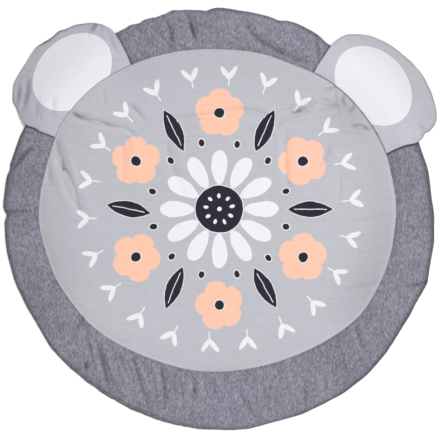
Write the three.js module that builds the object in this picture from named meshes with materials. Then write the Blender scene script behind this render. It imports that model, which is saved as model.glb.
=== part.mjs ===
// A round padded baby play mat, lying flat with its face up.
// A stuffed disc of dark grey melange jersey carries a light grey oval face panel. Two lightly padded ear
// flaps are caught in the panel's edge, lie over the border and droop past the rim to the floor.
// Millimetres. +Z is up and +Y points to the top edge, where the ears are. Angles are in degrees,
// anticlockwise from +X, and run about the middle of the disc.

import * as THREE from 'three';

// Driving dimensions of the pad
const PAD_LOFT = 14; // height of the stuffed body over the floor
const RIM_TOP = 3; // upper edge of the rim seam
const RIM_BOTTOM = 1; // lower edge of the rim seam, clear of the floor
const SHOULDER = 55; // how far in from the rim the pad reaches its full height
const SHOULDER_POWER = 1.7; // 2 is a quarter ellipse, less is flatter at the rim
const UNDERSIDE_INSET = 15; // the flat foot starts this far in from the rim
const FOOT_RING_INSET = 60;
const RIM_RIPPLES = [
  // small unevenness of the rim all round: how many waves, how high, and where they start in radians
  { waves: 37, height: 0.35, start: 0 },
  { waves: 53, height: 0.25, start: 1 },
];
const STUFFING_WAVES = [
  // broad, low unevenness of the wadding: wave lengths along X and Y in radians for each millimetre
  { alongX: 0.0105, alongY: 0.0083, height: 0.4, start: 0.2 },
  { alongX: 0.0105, alongY: -0.0083, height: 0.4, start: 1 },
  { alongX: 0.0071, alongY: 0.0121, height: 0.5, start: 0 },
];

// Driving dimensions of the oval face panel
const PANEL = { x: 3.1, y: 19.6, halfWidth: 392, halfHeight: 352, power: 2.08 };
const PANEL_THICKNESS = 2.2;
const SEAM_DIP = 2.2; // the stuffing is drawn down along the panel's seam
const SEAM_DIP_WIDTH = 12;
const SEAT_DEPTH = 2.2; // the panel's edge sits this much lower, in the seam
const SEAT_RAMP = 8;
const FOLD_BLEND = 6; // the panel's folds give way to the border's over this distance from the seam

// Driving dimensions of the ear flaps
const EAR_EDGE = 2.8; // thickness at the flap's sewn edge
const EAR_LIP = 1; // the lower corner of that edge is this far up
const EAR_LIP_SHARE = 0.98; // and the underside starts here, as a share of the way out from the middle
const EAR_LOFT = 6.4;
const EAR_SWELL_POWER = 3.5;
const EAR_FOLD_FADE = 8; // power with which the flap's folds fade out at its edge
const EAR_LIFT = 0.5; // clearance over the border it lies on
const EAR_ROOT_DIP = 3.6; // the root is drawn down towards the seam
const EAR_ROOT_DIP_WIDTH = 5;
const EAR_ROOT_RISE = [-20, 60]; // over this stretch out from the seam the flap gains its thickness
const DROOP_START = -40; // from this far inside the rim ...
const DROOP_END = 52; // ... to this far outside it the flap comes down to the floor
const GAP = 0.3; // between neighbouring pieces

// How finely the surfaces are divided
const SECTORS = 96;
const PANEL_RINGS = 12;
const BORDER_STEPS = 2; // parts of a sector in the border
const FINE_STEPS = 4; // the same where the rim is gathered
const BORDER_SHARES = [0, 0.25, 0.5, 0.75, 1]; // rows from the seam's ramp to the shoulder
const SHOULDER_INSETS = [30, 15, 5]; // rows on the shoulder, in from the rim
const EAR_COLUMNS = 84;
const EAR_ROOT_COLUMNS = 20;
const EAR_RINGS = [0.22, 0.42, 0.6, 0.76, 0.88, 0.95]; // shares of the way from the middle to the edge

// The rim's distance from the middle of the disc
const RIM = [
  { angle: 0, radius: 478.4 },
  { angle: 6, radius: 474.9 },
  { angle: 12, radius: 476.3 },
  { angle: 20, radius: 474.4 },
  { angle: 40, radius: 467 },
  { angle: 57, radius: 456 },
  { angle: 62, radius: 461.8 },
  { angle: 66.5, radius: 464.5 },
  { angle: 75, radius: 460.5 },
  { angle: 83.5, radius: 461.4 },
  { angle: 86.5, radius: 463.8 },
  { angle: 91, radius: 464.8 },
  { angle: 97, radius: 464.6 },
  { angle: 100, radius: 467.2 },
  { angle: 105, radius: 467.3 },
  { angle: 113, radius: 467 },
  { angle: 120, radius: 467.3 },
  { angle: 135, radius: 468 },
  { angle: 155, radius: 473 },
  { angle: 162, radius: 473.8 },
  { angle: 174, radius: 476 },
  { angle: 183, radius: 472.2 },
  { angle: 188, radius: 472.5 },
  { angle: 193, radius: 471.4 },
  { angle: 200, radius: 468.8 },
  { angle: 206, radius: 465.3 },
  { angle: 211, radius: 464.1 },
  { angle: 219, radius: 467.2 },
  { angle: 227, radius: 464.6 },
  { angle: 237, radius: 463.3 },
  { angle: 250, radius: 464.8 },
  { angle: 262, radius: 467.5 },
  { angle: 272, radius: 469 },
  { angle: 279, radius: 470.9 },
  { angle: 285, radius: 467.5 },
  { angle: 290, radius: 470.4 },
  { angle: 301, radius: 473.6 },
  { angle: 306, radius: 476.5 },
  { angle: 315, radius: 478.2 },
  { angle: 321, radius: 476.8 },
  { angle: 326, radius: 474.6 },
  { angle: 331, radius: 475 },
  { angle: 336, radius: 476.8 },
  { angle: 342.5, radius: 483.2 },
  { angle: 348, radius: 480.9 },
  { angle: 354, radius: 480.4 },
];

// How far the panel's edge lies outside a plain oval, by the oval's angle. The ears pull it out at the left.
const PANEL_EDGE = [
  { angle: 0, outset: -2.1 },
  { angle: 12, outset: -4.7 },
  { angle: 20, outset: -2.5 },
  { angle: 36, outset: -2.5 },
  { angle: 47, outset: -0.6 },
  { angle: 57, outset: -1 },
  { angle: 66, outset: -5.6 },
  { angle: 76, outset: -0.9 },
  { angle: 90, outset: 0.7 },
  { angle: 104, outset: 4.6 },
  { angle: 119, outset: 7.5 },
  { angle: 131, outset: 11 },
  { angle: 144, outset: 10.4 },
  { angle: 151, outset: 10 },
  { angle: 159, outset: 3.5 },
  { angle: 168, outset: 1.9 },
  { angle: 176, outset: 4.6 },
  { angle: 184, outset: 7 },
  { angle: 196, outset: 2.8 },
  { angle: 205, outset: 3.2 },
  { angle: 215, outset: 1.6 },
  { angle: 225, outset: 4.1 },
  { angle: 240, outset: 1.9 },
  { angle: 250, outset: 2.2 },
  { angle: 262, outset: 7.2 },
  { angle: 271, outset: 6.8 },
  { angle: 282, outset: 3.3 },
  { angle: 295, outset: 1.1 },
  { angle: 308, outset: 3.4 },
  { angle: 320, outset: 7.5 },
  { angle: 331, outset: 3 },
  { angle: 344, outset: -0.6 },
  { angle: 352, outset: -2.8 },
];

// Nicks (positive depth) and small points (negative depth) where the rim seam is puckered; widths in degrees
const NICKS = [
  { angle: 73, depth: 3.6, width: 1.8 },
  { angle: 93.2, depth: 4.8, width: 1.5 },
  { angle: 95.6, depth: 1.8, width: 1.5 },
  { angle: 102.4, depth: -2.6, width: 1.2 },
  { angle: 107.2, depth: 2.4, width: 1.3 },
  { angle: 111.9, depth: 2, width: 0.9 },
  { angle: 114.2, depth: -2.4, width: 1 },
  { angle: 167, depth: 2, width: 1 },
  { angle: 179.2, depth: 6, width: 1.3 },
  { angle: 231, depth: -0.8, width: 1.2 },
  { angle: 343.2, depth: -1.4, width: 1.2 },
];

// Stretches of the border with close puckers, in degrees
const GATHERED = [
  { from: 70, to: 75 },
  { from: 90, to: 116 },
  { from: 164, to: 168 },
  { from: 176, to: 183 },
  { from: 208, to: 264 },
  { from: 276, to: 282 },
  { from: 337, to: 346 },
];

// Soft troughs in the border: each runs from one point by way of another to a third, about the disc's middle
const BORDER_FOLDS = [
  { from: [-73, 458], via: [-58, 424], to: [-52, 388], width: 9, depth: 3.2 },
  { from: [-120, 436], via: [-88, 398], to: [-116, 364], width: 9, depth: 2.6 },
  { from: [50, 438], via: [91, 372], to: [208, 338], width: 12, depth: 3.2 },
  { from: [-212, 392], via: [-190, 404], to: [-172, 424], width: 9, depth: 2 },
  { from: [214, 404], via: [215, 376], to: [221, 346], width: 8, depth: 1.6 },
  { from: [-472, 12], via: [-446, 13], to: [-412, 15], width: 8, depth: 4 },
  { from: [-452, 108], via: [-434, 138], to: [-412, 152], width: 8, depth: 2.6 },
  { from: [-434, -146], via: [-410, -128], to: [-386, -114], width: 9, depth: 1.6 },
  { from: [-402, -214], via: [-382, -194], to: [-362, -180], width: 9, depth: 1.6 },
  { from: [410, -154], via: [436, -150], to: [464, -142], width: 7, depth: 2.6 },
  { from: [298, -228], via: [306, -268], to: [330, -300], width: 9, depth: 1.8 },
  { from: [44, -382], via: [64, -420], to: [90, -452], width: 9, depth: 2.8 },
  { from: [230, -334], via: [234, -362], to: [237, -390], width: 9, depth: 1.4 },
  { from: [186, -356], via: [190, -382], to: [193, -408], width: 9, depth: 1.4 },
];

// The row of slanting gathers in the lower left of the border
const GATHERS = [
  { top: [-294, -238], bottom: [-275, -330], width: 8, depth: 2 },
  { top: [-270, -270], bottom: [-241, -376], width: 8, depth: 2.8 },
  { top: [-236, -272], bottom: [-214, -366], width: 8, depth: 2.4 },
  { top: [-190, -296], bottom: [-156, -412], width: 9, depth: 3 },
  { top: [-164, -318], bottom: [-146, -374], width: 7, depth: 1.6 },
  { top: [-133, -316], bottom: [-121, -416], width: 9, depth: 3.2 },
  { top: [-104, -328], bottom: [-96, -384], width: 8, depth: 1.6 },
  { top: [-68, -338], bottom: [-56, -410], width: 9, depth: 3 },
  { top: [-34, -352], bottom: [-26, -402], width: 8, depth: 1.2 },
];

// Soft troughs across the face panel and the stuffing under it
const PANEL_FOLDS = [
  { from: [-336, 236], via: [-290, 208], to: [-206, 199], width: 13, depth: 2.6 },
  { from: [-104, 211], via: [0, 234], to: [116, 222], width: 14, depth: 2.8 },
  { from: [146, 226], via: [194, 245], to: [262, 247], width: 13, depth: 3.2 },
  { from: [-200, 251], via: [-182, 242], to: [-162, 214], width: 12, depth: 1.6 },
  { from: [-357, 170], via: [-342, 92], to: [-302, 12], width: 14, depth: 2.4 },
  { from: [152, 190], via: [143, 138], to: [156, 64], width: 13, depth: 2 },
  { from: [292, 203], via: [316, 200], to: [340, 193], width: 11, depth: 2.2 },
  { from: [270, 266], via: [280, 254], to: [294, 244], width: 11, depth: 2.4 },
  { from: [-212, 174], via: [-200, 128], to: [-212, 66], width: 15, depth: 1.2 },
  { from: [-113, 190], via: [-117, 134], to: [-72, 50], width: 14, depth: 1.3 },
  { from: [250, 168], via: [236, 134], to: [218, 104], width: 13, depth: 1.2 },
  { from: [276, -160], via: [312, -154], to: [354, -143], width: 12, depth: 1.2 },
  { from: [296, -10], via: [330, -2], to: [366, 8], width: 11, depth: 1 },
];

// Soft folds in the ear flaps
const EAR_FOLDS = [
  { from: [-441, 292], via: [-441, 268], to: [-446, 248], width: 7, depth: 1.4 },
  { from: [-421, 302], via: [-423, 268], to: [-432, 236], width: 8, depth: 2.2 },
  { from: [-397, 264], via: [-402, 246], to: [-400, 222], width: 9, depth: 1.4 },
  { from: [-362, 264], via: [-363, 246], to: [-366, 224], width: 9, depth: 1.2 },
  { from: [-268, 430], via: [-274, 422], to: [-283, 413], width: 6, depth: 1.4 },
  { from: [-243, 410], via: [-233, 388], to: [-224, 362], width: 8, depth: 1 },
  { from: [458, 194], via: [450, 198], to: [440, 204], width: 6, depth: 1.2 },
];

// The flaps. Each root spans two angles of the panel's outline, and the free edge runs through these points
// from the root's first end to its second.
const EARS = [
  {
    name: 'ear_left',
    root: [118.3, 154.6],
    edge: [
      [-198.8, 354.4],
      [-205.4, 368.1],
      [-213.2, 383.8],
      [-222.2, 399.7],
      [-230, 410.8],
      [-238, 418.7],
      [-248.2, 424.3],
      [-259, 429.3],
      [-271.1, 431.5],
      [-284.7, 432.2],
      [-300.9, 429.5],
      [-316.5, 426.8],
      [-327.3, 422.3],
      [-338.6, 417.1],
      [-348.7, 415],
      [-357.7, 409.7],
      [-365.7, 401.7],
      [-377.7, 392.9],
      [-389.7, 386.7],
      [-402.7, 377.7],
      [-411.6, 366.6],
      [-419.3, 353.6],
      [-427.5, 339.6],
      [-437.1, 325],
      [-444.1, 313],
      [-450.5, 300.8],
      [-453.8, 285.8],
      [-454.9, 270],
      [-453.1, 255.8],
      [-445.9, 242.9],
      [-439.3, 228.1],
      [-433.3, 218.3],
      [-426.5, 208.2],
      [-417.9, 202.9],
      [-407.2, 199.4],
      [-399, 195.7],
      [-390.7, 190.1],
      [-381.8, 187.1],
    ],
  },
  {
    name: 'ear_right',
    root: [19.6, 58.6],
    edge: [
      [384.6, 149.2],
      [399.5, 155.5],
      [415.7, 161.1],
      [430.6, 163.7],
      [441.7, 168.1],
      [451.6, 176],
      [456.6, 185.3],
      [459.8, 188.5],
      [466, 190.4],
      [473.1, 197],
      [479.2, 205.2],
      [483.3, 214.6],
      [484.3, 224.9],
      [483.3, 239],
      [480.5, 252.2],
      [476.5, 265.2],
      [471.7, 279.4],
      [465.1, 293.4],
      [457.9, 308.3],
      [449, 322.6],
      [440.3, 332.5],
      [431.4, 342.2],
      [421.5, 351.5],
      [410.2, 360.7],
      [398, 371.1],
      [383.8, 381.5],
      [367.3, 390.8],
      [351.2, 398.2],
      [336.2, 403.9],
      [319.1, 406.2],
      [301.1, 407.1],
      [286.2, 406.3],
      [273.9, 401],
      [263.6, 393.7],
      [255.9, 386],
      [248.2, 378.1],
      [242.5, 370.4],
      [234.4, 357.5],
      [222.1, 339.4],
    ],
  },
];

const FABRIC = {
  border: { color: 0x8b8996, roughness: 0.95, metalness: 0 },
  panel: { color: 0xc0c0c7, roughness: 0.93, metalness: 0 },
  ear: { color: 0xc6c5cd, roughness: 0.93, metalness: 0 },
};

const radians = (degrees) => (degrees * Math.PI) / 180;

// Difference of two angles, from -180 to 180 degrees
function turnBetween(a, b) {
  return ((((a - b) % 360) + 540) % 360) - 180;
}

// Smooth step from 0 at start to 1 at end
function ease(value, start, end) {
  const t = THREE.MathUtils.clamp((value - start) / (end - start), 0, 1);
  return t * t * (3 - 2 * t);
}

// A value between the rows of a table that runs once round, by a closed cubic through them
function tableValue(table, key, angle) {
  const count = table.length;
  const turned = ((angle % 360) + 360) % 360;
  let row = count - 1;
  while (table[row].angle > turned) {
    row -= 1;
  }
  const at = (k) => table[(k + count) % count];
  const span = (k) => (((at(k + 1).angle - at(k).angle) % 360) + 360) % 360;
  const slope = (k) => (at(k + 1)[key] - at(k - 1)[key]) / (span(k - 1) + span(k));
  const width = span(row);
  const t = (turned - at(row).angle) / width;
  const start = at(row)[key];
  const end = at(row + 1)[key];
  const hermiteStart = (2 * t ** 3 - 3 * t ** 2 + 1) * start + (t ** 3 - 2 * t ** 2 + t) * width * slope(row);
  const hermiteEnd = (3 * t ** 2 - 2 * t ** 3) * end + (t ** 3 - t ** 2) * width * slope(row + 1);
  return hermiteStart + hermiteEnd;
}

function rimRadius(angle) {
  let radius = tableValue(RIM, 'radius', angle);
  for (const ripple of RIM_RIPPLES) {
    radius += ripple.height * Math.sin(radians(ripple.waves * angle) + ripple.start);
  }
  for (const nick of NICKS) {
    radius -= nick.depth * Math.exp(-((turnBetween(angle, nick.angle) / nick.width) ** 2));
  }
  return radius;
}

function rimPoint(angle) {
  const radius = rimRadius(angle);
  return [radius * Math.cos(radians(angle)), radius * Math.sin(radians(angle))];
}

// How far a point lies outside the rim, negative inside
function beyondRim(x, y) {
  return Math.hypot(x, y) - rimRadius(THREE.MathUtils.radToDeg(Math.atan2(y, x)));
}

// How much larger than the plain oval the panel is at an angle
function panelGrowth(angle) {
  return 1 + tableValue(PANEL_EDGE, 'outset', angle) / PANEL.halfWidth;
}

// A point of the panel's oval outline, grown or shrunk about its middle
function ovalPoint(angle, share = 1, outset = 0) {
  const c = Math.cos(radians(angle));
  const s = Math.sin(radians(angle));
  const size = share * panelGrowth(angle);
  const x = (PANEL.halfWidth * size + outset) * Math.sign(c) * Math.abs(c) ** (2 / PANEL.power);
  const y = (PANEL.halfHeight * size + outset) * Math.sign(s) * Math.abs(s) ** (2 / PANEL.power);
  return [PANEL.x + x, PANEL.y + y];
}

// How far a point lies outside the panel's outline, negative inside
function beyondPanel(x, y) {
  const u = (Math.abs(x - PANEL.x) / PANEL.halfWidth) ** (PANEL.power / 2);
  const v = (Math.abs(y - PANEL.y) / PANEL.halfHeight) ** (PANEL.power / 2);
  const angle = THREE.MathUtils.radToDeg(Math.atan2(Math.sign(y - PANEL.y) * v, Math.sign(x - PANEL.x) * u));
  const share = (u * u + v * v) ** (1 / PANEL.power) / panelGrowth(angle);
  return share > 0 ? (1 - 1 / share) * Math.hypot(x - PANEL.x, y - PANEL.y) : -PANEL.halfHeight;
}

// Depth of a trough that follows a curve through three points and fades out at its ends
const FOLD_PARTS = 8;
const FOLD_END = 0.35; // share of its depth that a trough keeps at its ends
function troughDepth(x, y, fold) {
  const curveAt = (t, axis) =>
    (1 - t) ** 2 * fold.from[axis] + 2 * t * (1 - t) * fold.via[axis] + t * t * fold.to[axis];
  let best = Infinity;
  let fade = 1;
  for (let k = 0; k < FOLD_PARTS; k += 1) {
    const startX = curveAt(k / FOLD_PARTS, 0);
    const startY = curveAt(k / FOLD_PARTS, 1);
    const alongX = curveAt((k + 1) / FOLD_PARTS, 0) - startX;
    const alongY = curveAt((k + 1) / FOLD_PARTS, 1) - startY;
    const reach = ((x - startX) * alongX + (y - startY) * alongY) / (alongX ** 2 + alongY ** 2);
    const part = THREE.MathUtils.clamp(reach, 0, 1);
    const distance = Math.hypot(x - startX - alongX * part, y - startY - alongY * part);
    if (distance < best) {
      best = distance;
      fade = FOLD_END + (1 - FOLD_END) * Math.sin((Math.PI * (k + part)) / FOLD_PARTS);
    }
  }
  return fold.depth * fade * Math.exp(-((best / fold.width) ** 2));
}

function foldsDepth(x, y, folds) {
  return folds.reduce((sum, fold) => sum + troughDepth(x, y, fold), 0);
}

function gatherAsFold(gather) {
  const middle = [(gather.top[0] + gather.bottom[0]) / 2, (gather.top[1] + gather.bottom[1]) / 2];
  return { from: gather.top, via: middle, to: gather.bottom, width: gather.width, depth: gather.depth };
}

const ALL_BORDER_FOLDS = [...BORDER_FOLDS, ...GATHERS.map(gatherAsFold)];

function stuffing(x, y) {
  const waveHeight = (wave) => wave.height * Math.sin(wave.alongX * x + wave.alongY * y + wave.start);
  return STUFFING_WAVES.reduce((sum, wave) => sum + waveHeight(wave), 0);
}

// The pad's upper surface without its seam and folds
function cushionHeight(x, y) {
  const inside = Math.max(-beyondRim(x, y), 0);
  const rise = 1 - (1 - Math.min(inside / SHOULDER, 1)) ** SHOULDER_POWER;
  const full = ease(inside, 0, 2 * SHOULDER);
  return RIM_TOP + (PAD_LOFT - RIM_TOP) * rise ** (1 / SHOULDER_POWER) + full * stuffing(x, y);
}

// The pad's upper surface, on the border and under the panel
function padHeight(x, y) {
  const outside = beyondPanel(x, y);
  const valley = SEAM_DIP * Math.exp(-((outside / SEAM_DIP_WIDTH) ** 2));
  const seat = SEAT_DEPTH * (1 - THREE.MathUtils.clamp(outside / SEAT_RAMP, 0, 1));
  const onPanel = ease(outside, FOLD_BLEND, -FOLD_BLEND);
  const panelFolds = onPanel * foldsDepth(x, y, PANEL_FOLDS);
  const borderFolds = (1 - onPanel) * foldsDepth(x, y, ALL_BORDER_FOLDS);
  return cushionHeight(x, y) - valley - seat - panelFolds - borderFolds;
}

// A closed shell made of rings of points, each stitched to the next. It starts at a point on top, runs out
// over the edge and back in below to a second point.
class RingShell {
  constructor() {
    this.positions = [];
    this.triangles = [];
  }

  addPoint(point) {
    this.positions.push(...point);
    return this.positions.length / 3 - 1;
  }

  addRing(turns, place) {
    const start = this.positions.length / 3;
    turns.forEach((turn) => this.addPoint(place(turn)));
    return { turns, start, count: turns.length };
  }

  // Triangles between two rings, which may have different numbers of points. Quads are split along the same
  // diagonal whether the rings run outwards or back inwards, so that a sheet's two faces match.
  stitch(ring, next, inward) {
    const turnAt = (r, k) => r.turns[k % r.count] + (k >= r.count ? 360 : 0);
    const vertex = (r, k) => r.start + (k % r.count);
    let a = 0;
    let b = 0;
    while (a < ring.count || b < next.count) {
      const turnA = a < ring.count ? turnAt(ring, a + 1) : Infinity;
      const turnB = b < next.count ? turnAt(next, b + 1) : Infinity;
      if (inward ? turnB < turnA : turnB <= turnA) {
        this.triangles.push(vertex(ring, a), vertex(next, b), vertex(next, b + 1));
        b += 1;
      } else {
        this.triangles.push(vertex(ring, a), vertex(next, b), vertex(ring, a + 1));
        a += 1;
      }
    }
  }

  close(point, ring, faceUp) {
    const middle = this.addPoint(point);
    for (let k = 0; k < ring.count; k += 1) {
      const here = ring.start + k;
      const next = ring.start + ((k + 1) % ring.count);
      this.triangles.push(middle, faceUp ? here : next, faceUp ? next : here);
    }
  }

  toGeometry() {
    const geometry = new THREE.BufferGeometry();
    geometry.setAttribute('position', new THREE.Float32BufferAttribute(this.positions, 3));
    geometry.setIndex(this.triangles);
    geometry.computeVertexNormals();
    return geometry;
  }
}

function shellOfRings(topPoint, ringPlans, bottomPoint) {
  const shell = new RingShell();
  const rings = ringPlans.map((plan) => shell.addRing(plan.turns, plan.place));
  shell.close(topPoint, rings[0], true);
  for (let k = 1; k < rings.length; k += 1) {
    shell.stitch(rings[k - 1], rings[k], ringPlans[k].inward);
  }
  shell.close(bottomPoint, rings[rings.length - 1], false);
  return shell.toGeometry();
}

const sectorTurns = Array.from({ length: SECTORS }, (_, k) => (k * 360) / SECTORS);

// Finer turns for the border, closest where it is gathered
function borderTurns() {
  const sector = 360 / SECTORS;
  return sectorTurns.flatMap((turn) => {
    const middle = turn + sector / 2;
    const steps = GATHERED.some((g) => middle > g.from && middle < g.to) ? FINE_STEPS : BORDER_STEPS;
    return Array.from({ length: steps }, (_, k) => turn + (k * sector) / steps);
  });
}

// A row of the border between the panel's seam and the rim: at a share of the way from a set distance outside
// the seam to a set distance inside the rim
function borderRow(fromSeam, share, fromRim) {
  return (turn) => {
    const seam = ovalPoint(turn);
    const rim = rimPoint(turn);
    const width = Math.hypot(rim[0] - seam[0], rim[1] - seam[1]);
    const start = fromSeam / width;
    const end = 1 - fromRim / width;
    const t = start + (end - start) * share;
    const x = seam[0] + (rim[0] - seam[0]) * t;
    const y = seam[1] + (rim[1] - seam[1]) * t;
    return [x, y, padHeight(x, y)];
  };
}

function rimRow(inset, z) {
  return (turn) => {
    const [x, y] = rimPoint(turn);
    const shrink = 1 - inset / Math.hypot(x, y);
    return [x * shrink, y * shrink, z];
  };
}

function panelRow(share, lift) {
  return (turn) => {
    const [x, y] = ovalPoint(turn, share);
    return [x, y, padHeight(x, y) + lift];
  };
}

function padGeometry() {
  const fine = borderTurns();
  const plans = [];
  for (let k = 1; k <= PANEL_RINGS; k += 1) {
    plans.push({ turns: sectorTurns, place: panelRow(k / PANEL_RINGS, 0) });
  }
  for (const share of BORDER_SHARES) {
    plans.push({ turns: fine, place: borderRow(SEAT_RAMP, share, SHOULDER_INSETS[0]) });
  }
  for (const inset of SHOULDER_INSETS.slice(1)) {
    plans.push({ turns: fine, place: borderRow(0, 1, inset) });
  }
  plans.push({ turns: fine, place: rimRow(0, RIM_TOP) });
  plans.push({ turns: fine, place: rimRow(0, RIM_BOTTOM) });
  plans.push({ turns: fine, place: rimRow(UNDERSIDE_INSET, 0) });
  plans.push({ turns: sectorTurns, place: rimRow(FOOT_RING_INSET, 0) });
  return shellOfRings([PANEL.x, PANEL.y, padHeight(PANEL.x, PANEL.y)], plans, [0, 0, 0]);
}

function panelGeometry() {
  const plans = [];
  for (let k = 1; k <= PANEL_RINGS; k += 1) {
    plans.push({ turns: sectorTurns, place: panelRow(k / PANEL_RINGS, GAP + PANEL_THICKNESS) });
  }
  for (let k = PANEL_RINGS; k >= 1; k -= 1) {
    plans.push({ turns: sectorTurns, place: panelRow(k / PANEL_RINGS, GAP), inward: true });
  }
  const middle = padHeight(PANEL.x, PANEL.y) + GAP;
  return shellOfRings([PANEL.x, PANEL.y, middle + PANEL_THICKNESS], plans, [PANEL.x, PANEL.y, middle]);
}

// The whole outline of a flap: first the free edge, a smooth curve through its points, then back along the
// root
function earOutline(ear) {
  const freeColumns = EAR_COLUMNS - EAR_ROOT_COLUMNS;
  const [first, last] = ear.root.map((angle) => ovalPoint(angle, 1, GAP));
  const edge = new THREE.SplineCurve([first, ...ear.edge, last].map(([x, y]) => new THREE.Vector2(x, y)));
  const points = [];
  for (let k = 0; k < freeColumns; k += 1) {
    points.push(edge.getPointAt(k / freeColumns).toArray());
  }
  for (let k = 0; k < EAR_ROOT_COLUMNS; k += 1) {
    const angle = ear.root[1] + ((ear.root[0] - ear.root[1]) * k) / EAR_ROOT_COLUMNS;
    points.push(ovalPoint(angle, 1, GAP));
  }
  return points;
}

// Underside of a flap: over the border, down past the rim, then flat on the floor
function earUnderside(x, y) {
  const past = beyondRim(x, y);
  const onBorder = 1 - ease(past, DROOP_START, DROOP_END);
  const root = EAR_ROOT_DIP * Math.exp(-((beyondPanel(x, y) / EAR_ROOT_DIP_WIDTH) ** 2));
  const full = ease(-past, 0, 2 * SHOULDER);
  return onBorder * (PAD_LOFT + EAR_LIFT + full * stuffing(x, y)) - onBorder * root;
}

function earGeometry(ear) {
  const outline = earOutline(ear);
  const middle = [0, 1].map((axis) => outline.reduce((sum, point) => sum + point[axis], 0) / outline.length);
  const turns = outline.map((_, k) => (k * 360) / outline.length);
  const at = (turn, share) => {
    const point = outline[Math.round((turn * outline.length) / 360) % outline.length];
    return [0, 1].map((axis) => middle[axis] + (point[axis] - middle[axis]) * share);
  };
  const upper = (x, y, share) => {
    const rise = ease(beyondPanel(x, y), ...EAR_ROOT_RISE);
    const swell = EAR_EDGE + (EAR_LOFT - EAR_EDGE) * rise * (1 - share ** EAR_SWELL_POWER);
    return earUnderside(x, y) + swell - foldsDepth(x, y, EAR_FOLDS) * (1 - share ** EAR_FOLD_FADE);
  };
  const topRow = (share) => (turn) => {
    const [x, y] = at(turn, share);
    return [x, y, upper(x, y, share)];
  };
  const lowRow = (share, lift) => (turn) => {
    const [x, y] = at(turn, share);
    return [x, y, earUnderside(x, y) + lift];
  };
  const shares = [...EAR_RINGS, 1];
  const plans = shares.map((share) => ({ turns, place: topRow(share) }));
  plans.push({ turns, place: lowRow(1, EAR_LIP) });
  plans.push(...[...EAR_RINGS, EAR_LIP_SHARE].reverse().map((share) => ({ turns, place: lowRow(share, 0) })));
  const [mx, my] = middle;
  return shellOfRings([mx, my, upper(mx, my, 0)], plans, [mx, my, earUnderside(mx, my)]);
}

function piece(name, geometry, fabric) {
  const mesh = new THREE.Mesh(geometry, new THREE.MeshStandardMaterial(fabric));
  mesh.name = name;
  return mesh;
}

const playMat = new THREE.Group();
playMat.add(piece('pad', padGeometry(), FABRIC.border));
playMat.add(piece('centre_panel', panelGeometry(), FABRIC.panel));
for (const ear of EARS) {
  playMat.add(piece(ear.name, earGeometry(ear), FABRIC.ear));
}

// The origin is the middle of the footprint, on the floor
const extent = new THREE.Box3().setFromObject(playMat, true);
const centre = extent.getCenter(new THREE.Vector3());
playMat.position.set(-centre.x, -centre.y, -extent.min.z);

export default playMat;
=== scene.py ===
"""Looks of the round padded play mat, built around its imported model. Blender 4.5.

Sizes in the tables are millimetres about the middle of the round pad, +Y towards the ears and angles in
degrees anticlockwise from +X, as in the part's own source. Meshes are made in metres in the row frame.
"""

import math

import bpy
import numpy as np
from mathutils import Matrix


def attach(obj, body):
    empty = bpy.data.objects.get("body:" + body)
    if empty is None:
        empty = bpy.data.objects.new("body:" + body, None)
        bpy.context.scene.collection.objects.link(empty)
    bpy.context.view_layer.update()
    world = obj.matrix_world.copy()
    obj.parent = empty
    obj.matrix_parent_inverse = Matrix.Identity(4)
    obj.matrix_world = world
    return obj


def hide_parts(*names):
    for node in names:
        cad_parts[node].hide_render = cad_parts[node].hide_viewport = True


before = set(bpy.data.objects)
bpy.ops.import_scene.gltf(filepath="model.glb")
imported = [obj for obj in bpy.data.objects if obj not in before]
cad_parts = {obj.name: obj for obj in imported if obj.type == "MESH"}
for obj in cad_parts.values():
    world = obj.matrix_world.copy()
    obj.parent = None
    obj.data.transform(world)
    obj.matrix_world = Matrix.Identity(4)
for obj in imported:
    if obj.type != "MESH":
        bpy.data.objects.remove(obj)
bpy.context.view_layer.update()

MM = 0.001
DISC_X = -4.773  # the middle of the round pad in the row frame
DISC_Y = 1.854

# Sizes that the pad, the panel and the ears share with the part's source
PAD_LOFT = 14.0
RIM_TOP = 3.0
SHOULDER = 55.0
SHOULDER_POWER = 1.7
UNDERSIDE_INSET = 15.0
RIM_ROLL = 1.9  # how far the last millimetres of the rim curl down, and over what width
RIM_ROLL_WIDTH = 4.2
RIM_RIPPLES = [(37, 0.35, 0.0), (53, 0.25, 1.0)]  # waves all round, height, start in radians
STUFFING_WAVES = [
    (0.0105, 0.0083, 0.4, 0.2),  # along X, along Y, height, start
    (0.0105, -0.0083, 0.4, 1.0),
    (0.0071, 0.0121, 0.5, 0.0),
]
PANEL_X = 3.1
PANEL_Y = 19.6
PANEL_HALF_WIDTH = 392.0
PANEL_HALF_HEIGHT = 352.0
PANEL_POWER = 2.08
PANEL_THICKNESS = 2.2
SEAM_DIP = 2.2
SEAM_DIP_WIDTH = 12.0
FOLD_BLEND = 6.0
EAR_EDGE = 2.8
EAR_LOFT = 6.4
EAR_SWELL_POWER = 3.5
EAR_FOLD_FADE = 8.0
EAR_LIFT = 0.5
EAR_ROOT_DIP = 3.6
EAR_ROOT_DIP_WIDTH = 5.0
EAR_ROOT_RISE = (-20.0, 60.0)
DROOP_START = -40.0
DROOP_END = 52.0
GAP = 0.3

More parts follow.
